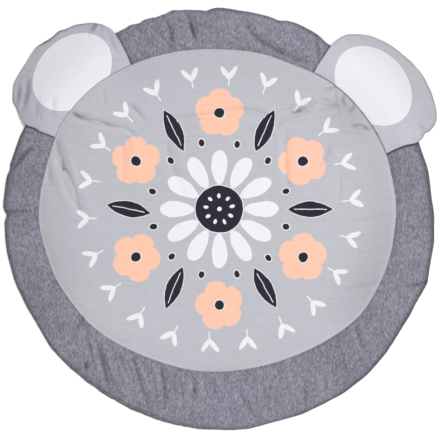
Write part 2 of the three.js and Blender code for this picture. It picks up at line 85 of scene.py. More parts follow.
# The rim: angle, radius. This table, the next one and the ears' edges were fitted by a program to the
# photograph's edges.
RIM = [
    (0, 478.4), (6, 474.9), (12, 476.3), (20, 474.4), (40, 467), (57, 456), (62, 461.8), (66.5, 464.5),
    (75, 460.5), (83.5, 461.4), (86.5, 463.8), (91, 464.8), (97, 464.6), (100, 467.2), (105, 467.3),
    (113, 467), (120, 467.3), (135, 468), (155, 473), (162, 473.8), (174, 476), (183, 472.2), (188, 472.5),
    (193, 471.4), (200, 468.8), (206, 465.3), (211, 464.1), (219, 467.2), (227, 464.6), (237, 463.3),
    (250, 464.8), (262, 467.5), (272, 469), (279, 470.9), (285, 467.5), (290, 470.4), (301, 473.6),
    (306, 476.5), (315, 478.2), (321, 476.8), (326, 474.6), (331, 475), (336, 476.8), (342.5, 483.2),
    (348, 480.9), (354, 480.4),
]

# How far the panel's edge lies outside a plain oval: angle, outset
PANEL_EDGE = [
    (0, -2.1), (12, -4.7), (20, -2.5), (36, -2.5), (47, -0.6), (57, -1), (66, -5.6), (76, -0.9), (90, 0.7),
    (104, 4.6), (119, 7.5), (131, 11), (144, 10.4), (151, 10), (159, 3.5), (168, 1.9), (176, 4.6), (184, 7),
    (196, 2.8), (205, 3.2), (215, 1.6), (225, 4.1), (240, 1.9), (250, 2.2), (262, 7.2), (271, 6.8),
    (282, 3.3), (295, 1.1), (308, 3.4), (320, 7.5), (331, 3), (344, -0.6), (352, -2.8),
]

# Nicks of the rim, or small points where the depth is negative: angle, depth, width in degrees
NICKS = [
    (73, 3.6, 1.8), (93.2, 4.8, 1.5), (95.6, 1.8, 1.5), (102.4, -2.6, 1.2), (107.2, 2.4, 1.3),
    (111.9, 2, 0.9), (114.2, -2.4, 1), (167, 2, 1), (179.2, 6, 1.3), (231, -0.8, 1.2), (343.2, -1.4, 1.2),
]

# The painted shade in a band where the cloth turns down to the rim, after its brightness in the photograph:
# angle, how dark, and how far in it reaches
RIM_PAINTED_SHADE = [
    (0, 0.62, 11), (6, 0.62, 11.5), (16, 0.6, 12), (66, 0.46, 8), (78, 0.5, 6), (88, 0.48, 7.5), (98, 0.3, 8),
    (109, 0.22, 8), (165, 0.58, 9), (175, 0.47, 9.5), (188, 0.55, 8.5), (202, 0.5, 7.5), (218, 0.52, 6.5),
    (232, 0.38, 9), (248, 0.37, 8.5), (262, 0.4, 8.5), (278, 0.36, 7.5), (292, 0.4, 7.5), (308, 0.6, 7.5),
    (322, 0.62, 8), (338, 0.66, 9), (352, 0.6, 10.5),
]

# Painted shade: how much darker the panel is near its edge, where it slopes down to the seam, also after the
# photograph: angle, how dark
PANEL_PAINTED_SHADE = [
    (0, 0.15), (12, 0.12), (24, 0.09), (33, 0.16), (40, 0.17), (47, 0.04), (60, 0.05), (72, 0.05), (84, 0.07),
    (96, 0.06), (108, 0.07), (120, 0.08), (130, 0.03), (138, 0.0), (147, 0.04), (156, 0.07), (168, 0.08),
    (180, 0.12), (192, 0.14), (204, 0.11), (216, 0.02), (230, 0.0), (242, 0.0), (264, 0.02), (290, 0.02),
    (304, 0.02), (313, 0.03), (324, 0.16), (336, 0.22), (348, 0.19),
]
PANEL_PAINTED_SHADE_REACH = 72.0

# Painted light and shade: how much darker or lighter the border is as a whole, after its brightness in the
# photograph: angle, how dark
BORDER_PAINTED_LIGHT_AND_SHADE = [
    (0, 0.05), (12, 0.06), (36, 0.0), (60, -0.08), (72, -0.07), (84, -0.04), (96, -0.04), (108, 0.0),
    (156, -0.03), (168, 0.07), (180, -0.03), (192, -0.05), (204, 0.02), (216, -0.04), (228, -0.08),
    (240, -0.06), (252, -0.05), (264, -0.08), (276, -0.1), (288, -0.03), (300, -0.03), (312, 0.05),
    (324, 0.08), (336, 0.0), (348, 0.0),
]

# Stretches where a painted light line runs along the panel's edge: from, to
PAINTED_LIGHT_EDGES = [(165, 262), (282, 376)]

# Stretches where the ears are caught in the panel's seam: from, to
ROOTS = [(20, 58), (119, 154)]

# Stretches where the rim seam is gathered: from, to
GATHERED = [(70, 75), (90, 116), (164, 168), (176, 183), (208, 264), (276, 282), (337, 346)]

# Stretches where the back's cloth rolls over to the front: from, to
ROLLED = [(84, 93), (226, 253)]

# Folds: from, bent towards, to, width, depth
BORDER_FOLDS = [
    ((-73, 458), (-58, 424), (-52, 388), 9, 4.2),
    ((-120, 436), (-88, 398), (-116, 364), 9, 3.2),
    ((50, 438), (91, 372), (208, 338), 12, 3.8),
    ((-212, 392), (-190, 404), (-172, 424), 9, 2.0),
    ((214, 404), (215, 376), (221, 346), 8, 2.8),
    ((-472, 12), (-446, 13), (-412, 15), 7, 4.0),
    ((-466, 10), (-444, 2), (-424, 10), 6, 2.0),
    ((-452, 108), (-434, 138), (-412, 152), 7, 6.0),
    ((-434, -146), (-410, -128), (-386, -114), 9, 0.6),
    ((-402, -214), (-382, -194), (-362, -180), 9, 2.6),
    ((410, -154), (436, -150), (464, -142), 7, 3.4),
    ((298, -228), (306, -268), (330, -300), 9, 2.1),
    ((44, -382), (64, -420), (90, -452), 9, 2.4),
    ((230, -334), (234, -362), (237, -390), 9, 0.6),
    ((186, -356), (190, -382), (193, -408), 9, 1.8),
    ((-292, -212), (-302, -226), (-318, -252), 6, 3.2),
    ((-294, -238), (-282, -290), (-275, -330), 7, 2.5),
    ((-290, -316), (-293, -328), (-297, -342), 5, 3.6),
    ((-270, -270), (-254, -320), (-241, -376), 8, 4.6),
    ((-262, -276), (-240, -340), (-216, -402), 8, 1.8),
    ((-236, -272), (-228, -312), (-211, -366), 7, 1.5),
    ((-222, -292), (-209, -328), (-196, -364), 7, 2.0),
    ((-190, -294), (-182, -344), (-154, -418), 9, 2.7),
    ((-164, -318), (-155, -346), (-146, -374), 7, 1.6),
    ((-135, -316), (-112, -354), (-122, -420), 9, 3.6),
    ((-104, -328), (-100, -356), (-96, -384), 8, 1.6),
    ((-68, -336), (-44, -362), (-58, -412), 9, 2.9),
    ((-34, -352), (-30, -377), (-26, -402), 8, 1.2),
]
PANEL_FOLDS = [
    ((-336, 236), (-290, 208), (-206, 199), 10, 2.8),
    ((-104, 211), (-43, 222), (32, 230), 10, 3.8),
    ((20, 229), (64, 238), (116, 220), 12, 3.6),
    ((146, 226), (194, 245), (262, 247), 11, 5.0),
    ((-200, 251), (-182, 242), (-162, 214), 8, 1.9),
    ((-357, 170), (-342, 92), (-302, 12), 12, 4.4),
    ((152, 190), (143, 138), (156, 64), 11, 1.8),
    ((293, 203), (316, 200), (334, 194), 6, 3.8),
    ((-212, 174), (-200, 128), (-212, 66), 15, 1.0),
    ((-113, 190), (-117, 134), (-72, 50), 14, 1.0),
    ((250, 168), (236, 134), (218, 104), 13, 1.6),
    ((276, -160), (312, -154), (354, -143), 11, 1.2),
    ((296, -10), (330, -2), (366, 8), 10, 1.0),
]
EAR_FOLDS = [
    ((-441, 292), (-441, 268), (-446, 248), 6, 4.2),
    ((-421, 302), (-423, 268), (-432, 236), 7, 5.6),
    ((-397, 264), (-402, 246), (-400, 222), 9, 1.3),
    ((-362, 264), (-363, 246), (-366, 224), 9, 1.8),
    ((-268, 430), (-274, 422), (-283, 413), 5, 7.0),
    ((-243, 410), (-233, 388), (-224, 362), 8, 2.0),
    ((458, 194), (450, 198), (440, 204), 5, 1.9),
]

# Finer creases that only this script has
FINE_BORDER_FOLDS = [
    ((-54, 452), (-50, 430), (-47, 412), 5, 0.9),
    ((-62, 440), (-40, 424), (-22, 412), 5, 0.9),
    ((-143, 421), (-128, 408), (-120, 392), 5, 1.0),
    ((-176, 372), (-166, 356), (-160, 344), 5, 0.9),
    ((94, 414), (138, 392), (176, 366), 6, 1.0),
    ((66, 446), (92, 424), (116, 410), 5, 0.9),
    ((150, 346), (182, 338), (206, 324), 5, 0.9),
    ((-206, -300), (-190, -350), (-178, -392), 6, 1.3),
    ((-150, -322), (-140, -366), (-134, -404), 5, 1.1),
    ((-120, -326), (-104, -364), (-100, -404), 6, 1.2),
    ((-90, -336), (-80, -376), (-78, -410), 5, 1.0),
    ((-12, -360), (-4, -392), (10, -428), 6, 0.8),
    ((98, -356), (102, -384), (112, -412), 6, 0.8),
    ((150, -352), (152, -380), (160, -406), 6, 0.9),
    ((270, -300), (276, -322), (288, -346), 6, 0.9),
    ((352, -232), (362, -254), (366, -282), 6, 0.9),
    ((-452, -60), (-428, -66), (-404, -62), 6, 0.8),
    ((-440, 64), (-424, 78), (-412, 98), 6, 0.9),
]
FINE_PANEL_FOLDS = [
    ((-206, 200), (-192, 189), (-178, 176), 6, 1.2),
    ((86, 194), (104, 188), (122, 179), 6, 0.8),
    ((128, 201), (143, 228), (158, 246), 6, 1.9),
    ((137, 207), (157, 224), (190, 231), 6, 1.3),
    ((278, 271), (266, 257), (281, 245), 4.5, 2.4),
    ((299, 251), (297, 235), (281, 234), 4.5, 2.4),
    ((262, 246), (270, 249), (278, 247), 6, 1.0),
    ((263, 222), (265, 232), (262, 241), 5, 0.8),
    ((230, 283), (245, 281), (258, 289), 6, 1.1),
    ((204, 268), (207, 262), (216, 260), 5, 0.8),
    ((-322, 236), (-315, 220), (-298, 221), 5, 1.8),
    ((254, 262), (262, 270), (258, 282), 5, 1.0),
    ((226, 278), (242, 283), (264, 287), 5, 1.1),
    ((176, 250), (198, 256), (226, 255), 6, 0.9),
    ((220, 262), (240, 262), (254, 254), 5, 1.0),
    ((270, 106), (271, 74), (266, 40), 9, 0.7),
    ((-373, 115), (-374, 92), (-370, 68), 6, 0.9),
    ((-254, 283), (-252, 268), (-248, 252), 6, 0.8),
    ((-200, 181), (-198, 164), (-194, 146), 6, 0.6),
    ((-338, 222), (-318, 228), (-296, 224), 6, 0.9),
    ((-20, 236), (30, 243), (78, 240), 8, 0.6),
]
FINE_EAR_FOLDS = [
    ((-390, 232), (-391, 222), (-392, 212), 5, 0.8),
    ((-438, 240), (-436, 230), (-430, 222), 5, 1.6),
    ((-259, 429), (-257, 420), (-258, 410), 5, 1.6),
    ((-284, 416), (-286, 404), (-288, 392), 6, 0.8),
    ((-402, 380), (-389, 386), (-373, 394), 4, 3.2),
    ((-360, 405), (-352, 413), (-338, 416), 4, 2.4),
    ((-326, 423), (-312, 428), (-298, 430), 4, 1.8),
    ((-418, 356), (-408, 362), (-400, 366), 5, 1.0),
    ((-446, 306), (-438, 311), (-424, 311), 5, 1.6),
    ((447, 196), (451, 188), (446, 180), 5, 1.6),
    ((316, 404), (317, 397), (317, 390), 4, 0.7),
]

# How a fold's depth is shared out: its broad trough, the sharper crease along its bottom, and the low ridges
FOLD_WIDE = 0.45
FOLD_NARROW = 1.7
FOLD_RIDGE = 0.4
FOLD_CORE = 0.4  # half width of the crease, as a share of the trough's
FOLD_CORE_LEAST = 3.1
# Painted shade along each crease's bottom: how dark for each millimetre of depth, and over what width
FOLD_PAINTED_SHADE = 0.06  # how dark the crease's bottom is for each millimetre of depth
FOLD_PAINTED_SHADE_WIDTH = 3.0

# The ears. Each has
# root: its two ends, as angles on the panel's outline
# edge: points of the free edge from the root's first end to its second
# edge_painted_shade: the painted shade along the flap's edge, how dark by angle about its middle, also after
# the photograph
# fine_pucker: height of the puckers along the edge
# tone: painted light and shade, how much darker the flap is painted near the root, far from it, and for each
# millimetre to the right
# painted_contact_shadow: how dark the painted shadow on the border is beside the two ends of the free edge
# white: the plain white oval along the root, out from it, half length and half height
# lift_at, lift_over, lift: where along the free edge it stands off the border, over what share of it, how far
EARS = [
    {
        "name": "ear_left", "root": (118.3, 154.6),
        "edge": [
            (-198.8, 354.4), (-205.4, 368.1), (-213.2, 383.8), (-222.2, 399.7), (-230, 410.8),
            (-238, 418.7), (-248.2, 424.3), (-259, 429.3), (-271.1, 431.5), (-284.7, 432.2),
            (-300.9, 429.5), (-316.5, 426.8), (-327.3, 422.3), (-338.6, 417.1), (-348.7, 415),
            (-357.7, 409.7), (-365.7, 401.7), (-377.7, 392.9), (-389.7, 386.7), (-402.7, 377.7),
            (-411.6, 366.6), (-419.3, 353.6), (-427.5, 339.6), (-437.1, 325), (-444.1, 313),
            (-450.5, 300.8), (-453.8, 285.8), (-454.9, 270), (-453.1, 255.8), (-445.9, 242.9),
            (-439.3, 228.1), (-433.3, 218.3), (-426.5, 208.2), (-417.9, 202.9), (-407.2, 199.4),
            (-399, 195.7), (-390.7, 190.1), (-381.8, 187.1),
        ],
        "edge_painted_shade": [
            (0, 0.1), (36, 0.14), (47, 0.3), (58, 0.44), (71, 0.42), (84, 0.52), (100, 0.68), (115, 0.74),
            (130, 0.38), (145, 0.08), (168, -0.05), (190, 0.14), (205, 0.05), (219, 0.36), (230, 0.22),
            (245, 0.12), (261, 0.1), (300, 0.1),
        ],
        "fine_pucker": 0.6, "tone": (-0.04, 0.09, -0.0003), "painted_contact_shadow": (0.5, 0.33),
        "white": (-11, 78, 98, 75),
        "lift_at": 0.93, "lift_over": 0.06, "lift": 1.2, "seed": 31,
    },
    {
        "name": "ear_right", "root": (19.6, 58.6),
        "edge": [
            (384.6, 149.2), (399.5, 155.5), (415.7, 161.1), (430.6, 163.7), (441.7, 168.1), (451.6, 176),
            (456.6, 185.3), (459.8, 188.5), (466, 190.4), (473.1, 197), (479.2, 205.2), (483.3, 214.6),
            (484.3, 224.9), (483.3, 239), (480.5, 252.2), (476.5, 265.2), (471.7, 279.4), (465.1, 293.4),
            (457.9, 308.3), (449, 322.6), (440.3, 332.5), (431.4, 342.2), (421.5, 351.5), (410.2, 360.7),
            (398, 371.1), (383.8, 381.5), (367.3, 390.8), (351.2, 398.2), (336.2, 403.9), (319.1, 406.2),
            (301.1, 407.1), (286.2, 406.3), (273.9, 401), (263.6, 393.7), (255.9, 386), (248.2, 378.1),
            (242.5, 370.4), (234.4, 357.5), (222.1, 339.4),
        ],
        "edge_painted_shade": [
            (0, 0.36), (5, 0.36), (20, 0.2), (32, 0.08), (48, 0.3), (61, 0.44), (85, 0.28), (106, 0.24),
            (117, 0.14), (128, 0.18), (139, 0.22), (155, 0.05), (200, 0.0), (260, 0.0), (287, 0.12),
            (300, 0.35), (314, 0.38), (328, 0.25), (343, 0.36),
        ],
        "fine_pucker": 0.2, "tone": (-0.05, 0.1, 0.0002), "painted_contact_shadow": (0.78, 0.4),
        "white": (11, 78, 98, 75),
        "lift_at": 0.08, "lift_over": 0.08, "lift": 3.0, "seed": 47,
    },
]

# How finely the pieces are divided
PAD_COLUMNS = 1568
SEAM_ROWS = [-2.6, 0.1, 0.7, 1.5, 2.5, 3.8, 5.4, 7.4]  # distance outside the panel's edge
MIDDLE_ROWS = 25
RIM_ROWS = [14, 11.4, 9.2, 7.7, 6.6, 5.6, 4.6, 3.7, 2.8, 2, 1.3, 0.8, 0.4]  # distance inside the rim
PANEL_CELLS = 280
PANEL_ROWS_CROWD = (0.62, 0.24, 1.3)  # rows closer together: where, over what stretch, and by how much
PANEL_GRID_INSET = 5.4  # the grid ends here and the edge rows begin
PANEL_EDGE_ROWS = [4.4, 3.7, 3.1, 2.5, 1.9, 1.4, 0.9, 0.45, 0.12, 0]
EAR_CELLS = 104
EAR_GRID_INSET = 5.2
EAR_EDGE_ROWS = [4.2, 3.2, 2.4, 1.7, 1.1, 0.6, 0.2, 0]

# Rows of the hidden sides. The last number is how many times the row's points are halved.
HIDDEN_ROWS = [(0.12, 5), (0.3, 4), (0.55, 3), (0.8, 2), (0.95, 1)]  # share of the way out under the panel
UNDERSIDE_ROWS = [  # distance inside the rim
    (UNDERSIDE_INSET, 0), (24, 1), (42, 2), (76, 3), (140, 4), (250, 5), (360, 5),
]
PANEL_LOW_ROWS = [  # distance inside the edge, how far below the upper surface
    (0.5, 2.1, 0), (6, 1.7, 0), (14, 2.2, 1), (34, 2.2, 2), (90, 2.2, 3), (210, 2.2, 4),
]
EAR_LOW_SHARES = [(0.86, 0), (0.66, 1), (0.42, 2), (0.2, 3)]  # share of the way out from the middle

# The rim's nose: distance inside the rim, height, and whether the row lies in the seam. There the distance is
# a share of the seam's depth.
NOSE_ROWS = [
    (0.15, 2.6, False), (0, 2.2, False), (0.15, 1.9, True), (0.7, 1.65, True), (0.15, 1.4, True),
    (0.1, 1.1, False), (0.9, 0.7, False), (3.2, 0.4, False), (8, 0.2, False),
]
NOSE_SEAM_DEPTH = 1.1

# The ear's nose: distance inside its edge and height over the underside
EAR_NOSE_ROWS = [(0.5, 1.3), (0.1, 0.95), (0.8, 0.35), (2.2, 0.05)]

# Small forms of the cloth: heights, and the widths or reaches over which they fade
HIDDEN_DROP = 6.6  # how far the stuffed body's top under the panel lies below the mat's upper surface
SEAM_PUCKER = 0.42
SEAM_PUCKER_REACH = 7.5
ROOT_PUCKER_REACH = 7.0  # and this much further at the ears' roots
RIM_PUCKER = (0.45, 1.1)  # plain, and how much more where the rim is gathered
RIM_PUCKER_REACH = (8.0, 16.0)
ROLL_LINE_INSET = 6.6  # the seam of the stretches where the back rolls over
ROLL_GROOVE = 2.4
ROLL_DROP = 0.6
PANEL_LIFT = 0.25
PANEL_ROLL = 1.1
PANEL_ROLL_WIDTH = 1.9
STITCH_PULL = 0.42  # how far the stitches draw the panel in
STITCH_PULL_WIDTH = 1.1
EAR_NOSE = 3.4
EAR_NOSE_HEIGHT = 1.6
EAR_ROOT_SWELL = 1.4  # thickness of the flap at its root
EAR_TOP_DIP = 1.4  # the flap's upper side dips less at the root than its underside, and more widely
EAR_TOP_DIP_WIDTH = 9.0
EAR_ROOT_ROLL = 0.9

# Noise over the cloth: height, size along X and along Y
LUMPS = [(0.34, 46, 46), (0.14, 19, 19)]
DRAG = [(0.09, 30, 7), (0.07, 8, 34)]
EAR_SOFTNESS = [(0.3, 30, 30), (0.12, 12, 12)]
FOLD_WANDER = [(1.3, 34, 34), (0.8, 12, 12)]
CLOTH_BEND = 1.3  # how far the cloth's grain wanders, and over what size
CLOTH_BEND_SIZE = 60

# Small painted shadows and painted lights beside seams: how dark, how far from the seam, over what width
SEAM_PAINTED_SHADE = (0.1, 3.5, 2.5)
RIGHT_ROOT_PAINTED_SHADE = (0.42, 1.0, 1.5)
LEFT_ROOT_PAINTED_LIGHT = (-0.05, 1.5, 3.0)
PANEL_EDGE_PAINTED_LIGHT = (0.11, 4.2, 2.4)
CONTACT_PAINTED_SHADE_WIDTH = 4.6
CONTACT_REACH = 40  # degrees either side of an ear within which the border can be beside it
CONTACT_DEPTH = 130  # and this far inside the rim
EAR_EDGE_PAINTED_SHADE_WIDTH = 4.0

# Least thicknesses, so that no crease cuts through a thin edge, and how softly creases level out above them
LEAST_SOFTNESS = 0.4
RIM_LEAST = 1.0
HIDDEN_LEAST = 2.0
EAR_LEAST = 0.8

# The edge stitches
STITCH_INSET = 3.1
STITCH_PITCH = 3.6
STITCH_LENGTH = 2.7
STITCH_RADIUS = 0.34
STITCH_HEIGHT = 0.8  # how high the thread is, as a share of its width
STITCH_SIDES = 6
STITCH_UNEVENNESS = 0.12  # of the pitch
STITCH_PROFILE = [  # share of the way along, rise and thickness as shares of the radius
    (0, -0.55, 0.4), (0.1, 0.05, 0.85), (0.3, 0.3, 1), (0.7, 0.3, 1), (0.9, 0.05, 0.85), (1, -0.55, 0.4),
]

# The camera looks straight down from a long way up. The photograph's middle, and what one pixel spans.
VIEW_X = 5.52
VIEW_Y = 2.21
PIXEL = 2.209
IMAGE_WIDTH = 441
LENS = 100.0
SENSOR = 36.0
FOCUS_HEIGHT = 6.0

# The far light: strength, then its width, its height and the side that it comes from in degrees
SOFTBOX = (1.7, 20.0, 54.0, 36.0)
LAMP_POWER = 5.2  # the lamp over the right side, in watts
LAMP_SIZE = 0.6  # metres
LAMP_PLACE = (0.9, 0.05, 1.4)
WORLD_STRENGTH = 0.64

# The floor: half its width and how far it lies below the mat, in metres, and its grey
FLOOR_HALF = 30.0
FLOOR_DROP = 0.0004
FLOOR_GREY = 0.93


def ease(value, start, end):
    """Smooth step from 0 at start to 1 at end."""
    t = np.clip((value - start) / (end - start), 0, 1)
    return t * t * (3 - 2 * t)


def bell(value, width, power=2):
    """1 at 0, and fading out on both sides over about that width."""
    return np.exp(-((value / width) ** power))


def noise(x, y, seed):
    """Gradient noise over the plane, about -1 to 1, with one bump to a unit."""
    turns = np.random.default_rng(seed).uniform(0, 2 * np.pi, (64, 64))
    cell_x = np.floor(x).astype(int)
    cell_y = np.floor(y).astype(int)
    u = x - cell_x
    v = y - cell_y

    def corner(i, j):
        turn = turns[(cell_x + i) % 64, (cell_y + j) % 64]
        return np.cos(turn) * (u - i) + np.sin(turn) * (v - j)

    blend_u = u**3 * (u * (u * 6 - 15) + 10)
    blend_v = v**3 * (v * (v * 6 - 15) + 10)
    low = corner(0, 0) * (1 - blend_u) + corner(1, 0) * blend_u
    high = corner(0, 1) * (1 - blend_u) + corner(1, 1) * blend_u
    return 1.5 * (low * (1 - blend_v) + high * blend_v)


def bumps(x, y, sizes, seed):
    """Noise of several sizes, each with a seed of its own."""
    rows = enumerate(sizes)
    return sum(height * noise(x / size_x, y / size_y, seed + k) for k, (height, size_x, size_y) in rows)


def round_noise(angle, waves, seed):
    """Noise that runs once round the mat and meets itself, with about that many bumps."""
    radius = waves / (2 * np.pi)
    turn = np.radians(angle)
    return noise(radius * np.cos(turn) + 20, radius * np.sin(turn) + 20, seed)


def turn_between(a, b):
    return (a - b + 180) % 360 - 180


def stretch(angle, parts, blend):
    """1 within the given stretches of the rim and 0 outside them, with soft ends."""
    found = np.zeros_like(angle)
    for start, end in parts:
        middle = (start + end) / 2
        off = np.abs(turn_between(angle, middle)) - (end - start) / 2
        found = np.maximum(found, 1 - ease(off, -blend / 2, blend / 2))
    return found


def table_value(table, angle):
    """A value between the rows of a table that runs once round, by a closed cubic through them."""
    angles, values = np.array(table, float).T
    turned = angle % 360
    row = np.searchsorted(angles, turned, side="right") - 1
    after = (np.arange(len(table)) + 1) % len(table)
    before = (np.arange(len(table)) - 1) % len(table)
    span = (angles[after] - angles) % 360
    slope = (values[after] - values[before]) / (span[before] + span)
    width = span[row]
    t = (turned - angles[row]) / width
    start = (2 * t**3 - 3 * t**2 + 1) * values[row] + (t**3 - 2 * t**2 + t) * width * slope[row]
    end = (3 * t**2 - 2 * t**3) * values[after[row]] + (t**3 - t**2) * width * slope[after[row]]
    return start + end


def rim_radius(angle):
    radius = table_value(RIM, angle)
    for waves, height, start in RIM_RIPPLES:
        radius = radius + height * np.sin(np.radians(waves * angle) + start)
    for at, depth, width in NICKS:
        radius = radius - depth * bell(turn_between(angle, at), width)
    gathered = stretch(angle, GATHERED, 3)
    fine = round_noise(angle, 260, 3) * (0.2 + 0.4 * gathered)
    return radius + fine + 0.3 * gathered * round_noise(angle, 430, 4)


def rim_point(angle, inset=0.0):
    radius = rim_radius(angle) - inset
    return radius * np.cos(np.radians(angle)), radius * np.sin(np.radians(angle))


def beyond_rim(x, y):
    """How far a point lies outside the rim, negative inside."""
    return np.hypot(x, y) - rim_radius(np.degrees(np.arctan2(y, x)))


def panel_growth(angle):
    """How much larger than the plain oval the panel is at an angle."""
    return 1 + table_value(PANEL_EDGE, angle) / PANEL_HALF_WIDTH


def oval_point(angle, share=1.0, outset=0.0):
    """A point of the panel's oval outline, grown or shrunk about its middle."""
    c = np.cos(np.radians(angle))
    s = np.sin(np.radians(angle))
    size = share * panel_growth(angle)
    x = (PANEL_HALF_WIDTH * size + outset) * np.sign(c) * np.abs(c) ** (2 / PANEL_POWER)
    y = (PANEL_HALF_HEIGHT * size + outset) * np.sign(s) * np.abs(s) ** (2 / PANEL_POWER)
    return PANEL_X + x, PANEL_Y + y


def beyond_panel(x, y):
    """How far a point lies outside the panel's outline, negative inside."""
    u = np.abs((x - PANEL_X) / PANEL_HALF_WIDTH) ** (PANEL_POWER / 2)
    v = np.abs((y - PANEL_Y) / PANEL_HALF_HEIGHT) ** (PANEL_POWER / 2)
    angle = np.degrees(np.arctan2(np.sign(y - PANEL_Y) * v, np.sign(x - PANEL_X) * u))
    share = np.maximum((u * u + v * v) ** (1 / PANEL_POWER) / panel_growth(angle), 1e-6)
    far = (1 - 1 / share) * np.hypot(x - PANEL_X, y - PANEL_Y)
    return np.where(share > 0.01, far, -PANEL_HALF_HEIGHT)


def off_segment(x, y, start, along):
    """How far points lie from a straight piece, and their place along it from 0 to 1."""
    reach = ((x - start[0]) * along[0] + (y - start[1]) * along[1]) / max(along @ along, 1e-9)
    part = np.clip(reach, 0, 1)
    return np.hypot(x - start[0] - along[0] * part, y - start[1] - along[1] * part), part


def beside_fold(x, y, fold):
    """Which points lie near a fold, how far they are from its line, and how deep it is beside them."""
    start, via, end, width, depth = fold
    points = np.array([start, via, end], float)
    low = points.min(0) - 4 * width
    high = points.max(0) + 4 * width
    near = (x > low[0]) & (x < high[0]) & (y > low[1]) & (y < high[1])
    px = x[near]
    py = y[near]
    parts = 8
    t = np.linspace(0, 1, parts + 1)[:, None]
    line = (1 - t) ** 2 * points[0] + 2 * t * (1 - t) * points[1] + t * t * points[2]
    best = np.full(px.shape, 1e9)
    place = np.zeros(px.shape)
    for k in range(parts):
        away, part = off_segment(px, py, line[k], line[k + 1] - line[k])
        closer = away < best
        best = np.where(closer, away, best)
        place = np.where(closer, (k + part) / parts, place)
    fade = 0.3 + 0.7 * np.sin(np.pi * place)
    return near, best, depth * fade


def fold_form(away, width):
    """A fold's form: a soft trough with a sharper crease along its bottom and low ridges beside it."""
    off = away / width
    core = max(FOLD_CORE * width, FOLD_CORE_LEAST)
    trough = FOLD_WIDE * bell(off, 1) + FOLD_NARROW * bell(away, core, 1.5)
    return trough - FOLD_RIDGE * bell(off - 1.6, 0.65)


def fold_painted_shadow(away, _width):
    """The painted shadow along a crease's bottom, as wide for every fold."""
    return FOLD_PAINTED_SHADE * bell(away, FOLD_PAINTED_SHADE_WIDTH)


def all_folds(x, y, folds, seed, form):
    """All the folds of a table, each a little uneven and off its line, by their depth or their painted
    shadow.
    """
    wander_x = bumps(x, y, FOLD_WANDER, seed)
    wander_y = bumps(x, y, FOLD_WANDER, seed + 2)
    strength = 1 + 0.35 * noise(x / 22, y / 22, seed + 4)
    total = np.zeros_like(x)
    for fold in folds:
        near, away, depth = beside_fold(x + wander_x, y + wander_y, fold)
        total[near] += depth * form(away, fold[3])
    return total * strength


def folds_depth(x, y, folds, seed):
    return all_folds(x, y, folds, seed, fold_form)


def folds_painted_shadow(x, y, folds, seed):
    return np.clip(all_folds(x, y, folds, seed, fold_painted_shadow), 0, 0.5)


def stuffing(x, y):
    total = np.zeros_like(x)
    for along_x, along_y, height, start in STUFFING_WAVES:
        total += height * np.sin(along_x * x + along_y * y + start)
    return total


def unevenness(x, y):
    """Small softness of wadding under jersey: low bumps and faint drag lines."""
    return bumps(x, y, LUMPS, 11) + bumps(x, y, DRAG, 13)


def eased_above(height, least):
    """A height that levels out softly above a least height, so that no crease cuts through a thin edge."""
    return least + LEAST_SOFTNESS * np.logaddexp(0, (height - least) / LEAST_SOFTNESS)


def cushion_height(x, y):
    """The mat's upper surface without its seam and folds."""
    inside = np.maximum(-beyond_rim(x, y), 0)
    rise = 1 - (1 - np.minimum(inside / SHOULDER, 1)) ** SHOULDER_POWER
    full = ease(inside, 0, 2 * SHOULDER)
    return RIM_TOP + (PAD_LOFT - RIM_TOP) * rise ** (1 / SHOULDER_POWER) + full * stuffing(x, y)


def seam_puckers(x, y, outside):
    """Short puckers that run off both sides of the panel's seam."""
    angle = np.degrees(np.arctan2(y - PANEL_Y, x - PANEL_X))
    waves = 0.6 * round_noise(angle, 300, 21) + 0.4 * round_noise(angle + 0.02 * outside, 170, 22)
    patches = 0.45 + 0.55 * ease(round_noise(angle, 17, 23), -0.3, 0.5)
    root = stretch(angle, ROOTS, 6) * (outside < 0)
    reach = SEAM_PUCKER_REACH + ROOT_PUCKER_REACH * root
    return SEAM_PUCKER * (patches + 1.2 * root) * waves * np.exp(-np.abs(outside) / reach)


def rim_puckers(x, y):
    """Short gathers that run in from the rim seam."""
    angle = np.degrees(np.arctan2(y, x))
    inside = -beyond_rim(x, y)
    gathered = stretch(angle, GATHERED, 4)
    slant = 0.06 * inside
    waves = 0.6 * round_noise(angle + slant, 230, 24) + 0.4 * round_noise(angle - slant, 130, 25)
    reach = RIM_PUCKER_REACH[0] + RIM_PUCKER_REACH[1] * gathered
    height = RIM_PUCKER[0] + RIM_PUCKER[1] * gathered
    return height * waves * np.exp(-inside / reach) * ease(inside, 0, 4)


def base_height(x, y):
    """The upper surface of border and panel alike: the cushion drawn down at the seam, with every fold."""
    outside = beyond_panel(x, y)
    valley = SEAM_DIP * bell(outside, SEAM_DIP_WIDTH)
    on_panel = ease(outside, FOLD_BLEND, -FOLD_BLEND)
    panel_folds = on_panel * folds_depth(x, y, PANEL_FOLDS + FINE_PANEL_FOLDS, 41)
    near_rim = ease(-beyond_rim(x, y), 0, 6)
    border_folds = (1 - on_panel) * near_rim * folds_depth(x, y, BORDER_FOLDS + FINE_BORDER_FOLDS, 51)
    fine = unevenness(x, y) * ease(-beyond_rim(x, y), 2, 30)
    height = cushion_height(x, y) - valley - panel_folds - border_folds
    return height + fine + seam_puckers(x, y, outside) + rim_puckers(x, y)


def closer_rows(cells, at, over, extra):
    """Places from -1 to 1 that lie closer together about one place."""
    fine = np.linspace(-1, 1, 2001)
    crowd = 1 + extra * bell(fine - at, over)
    gone = np.concatenate([[0], np.cumsum((crowd[1:] + crowd[:-1]) / 2)])
    return np.interp(np.linspace(0, gone[-1], cells + 1), gone, fine)


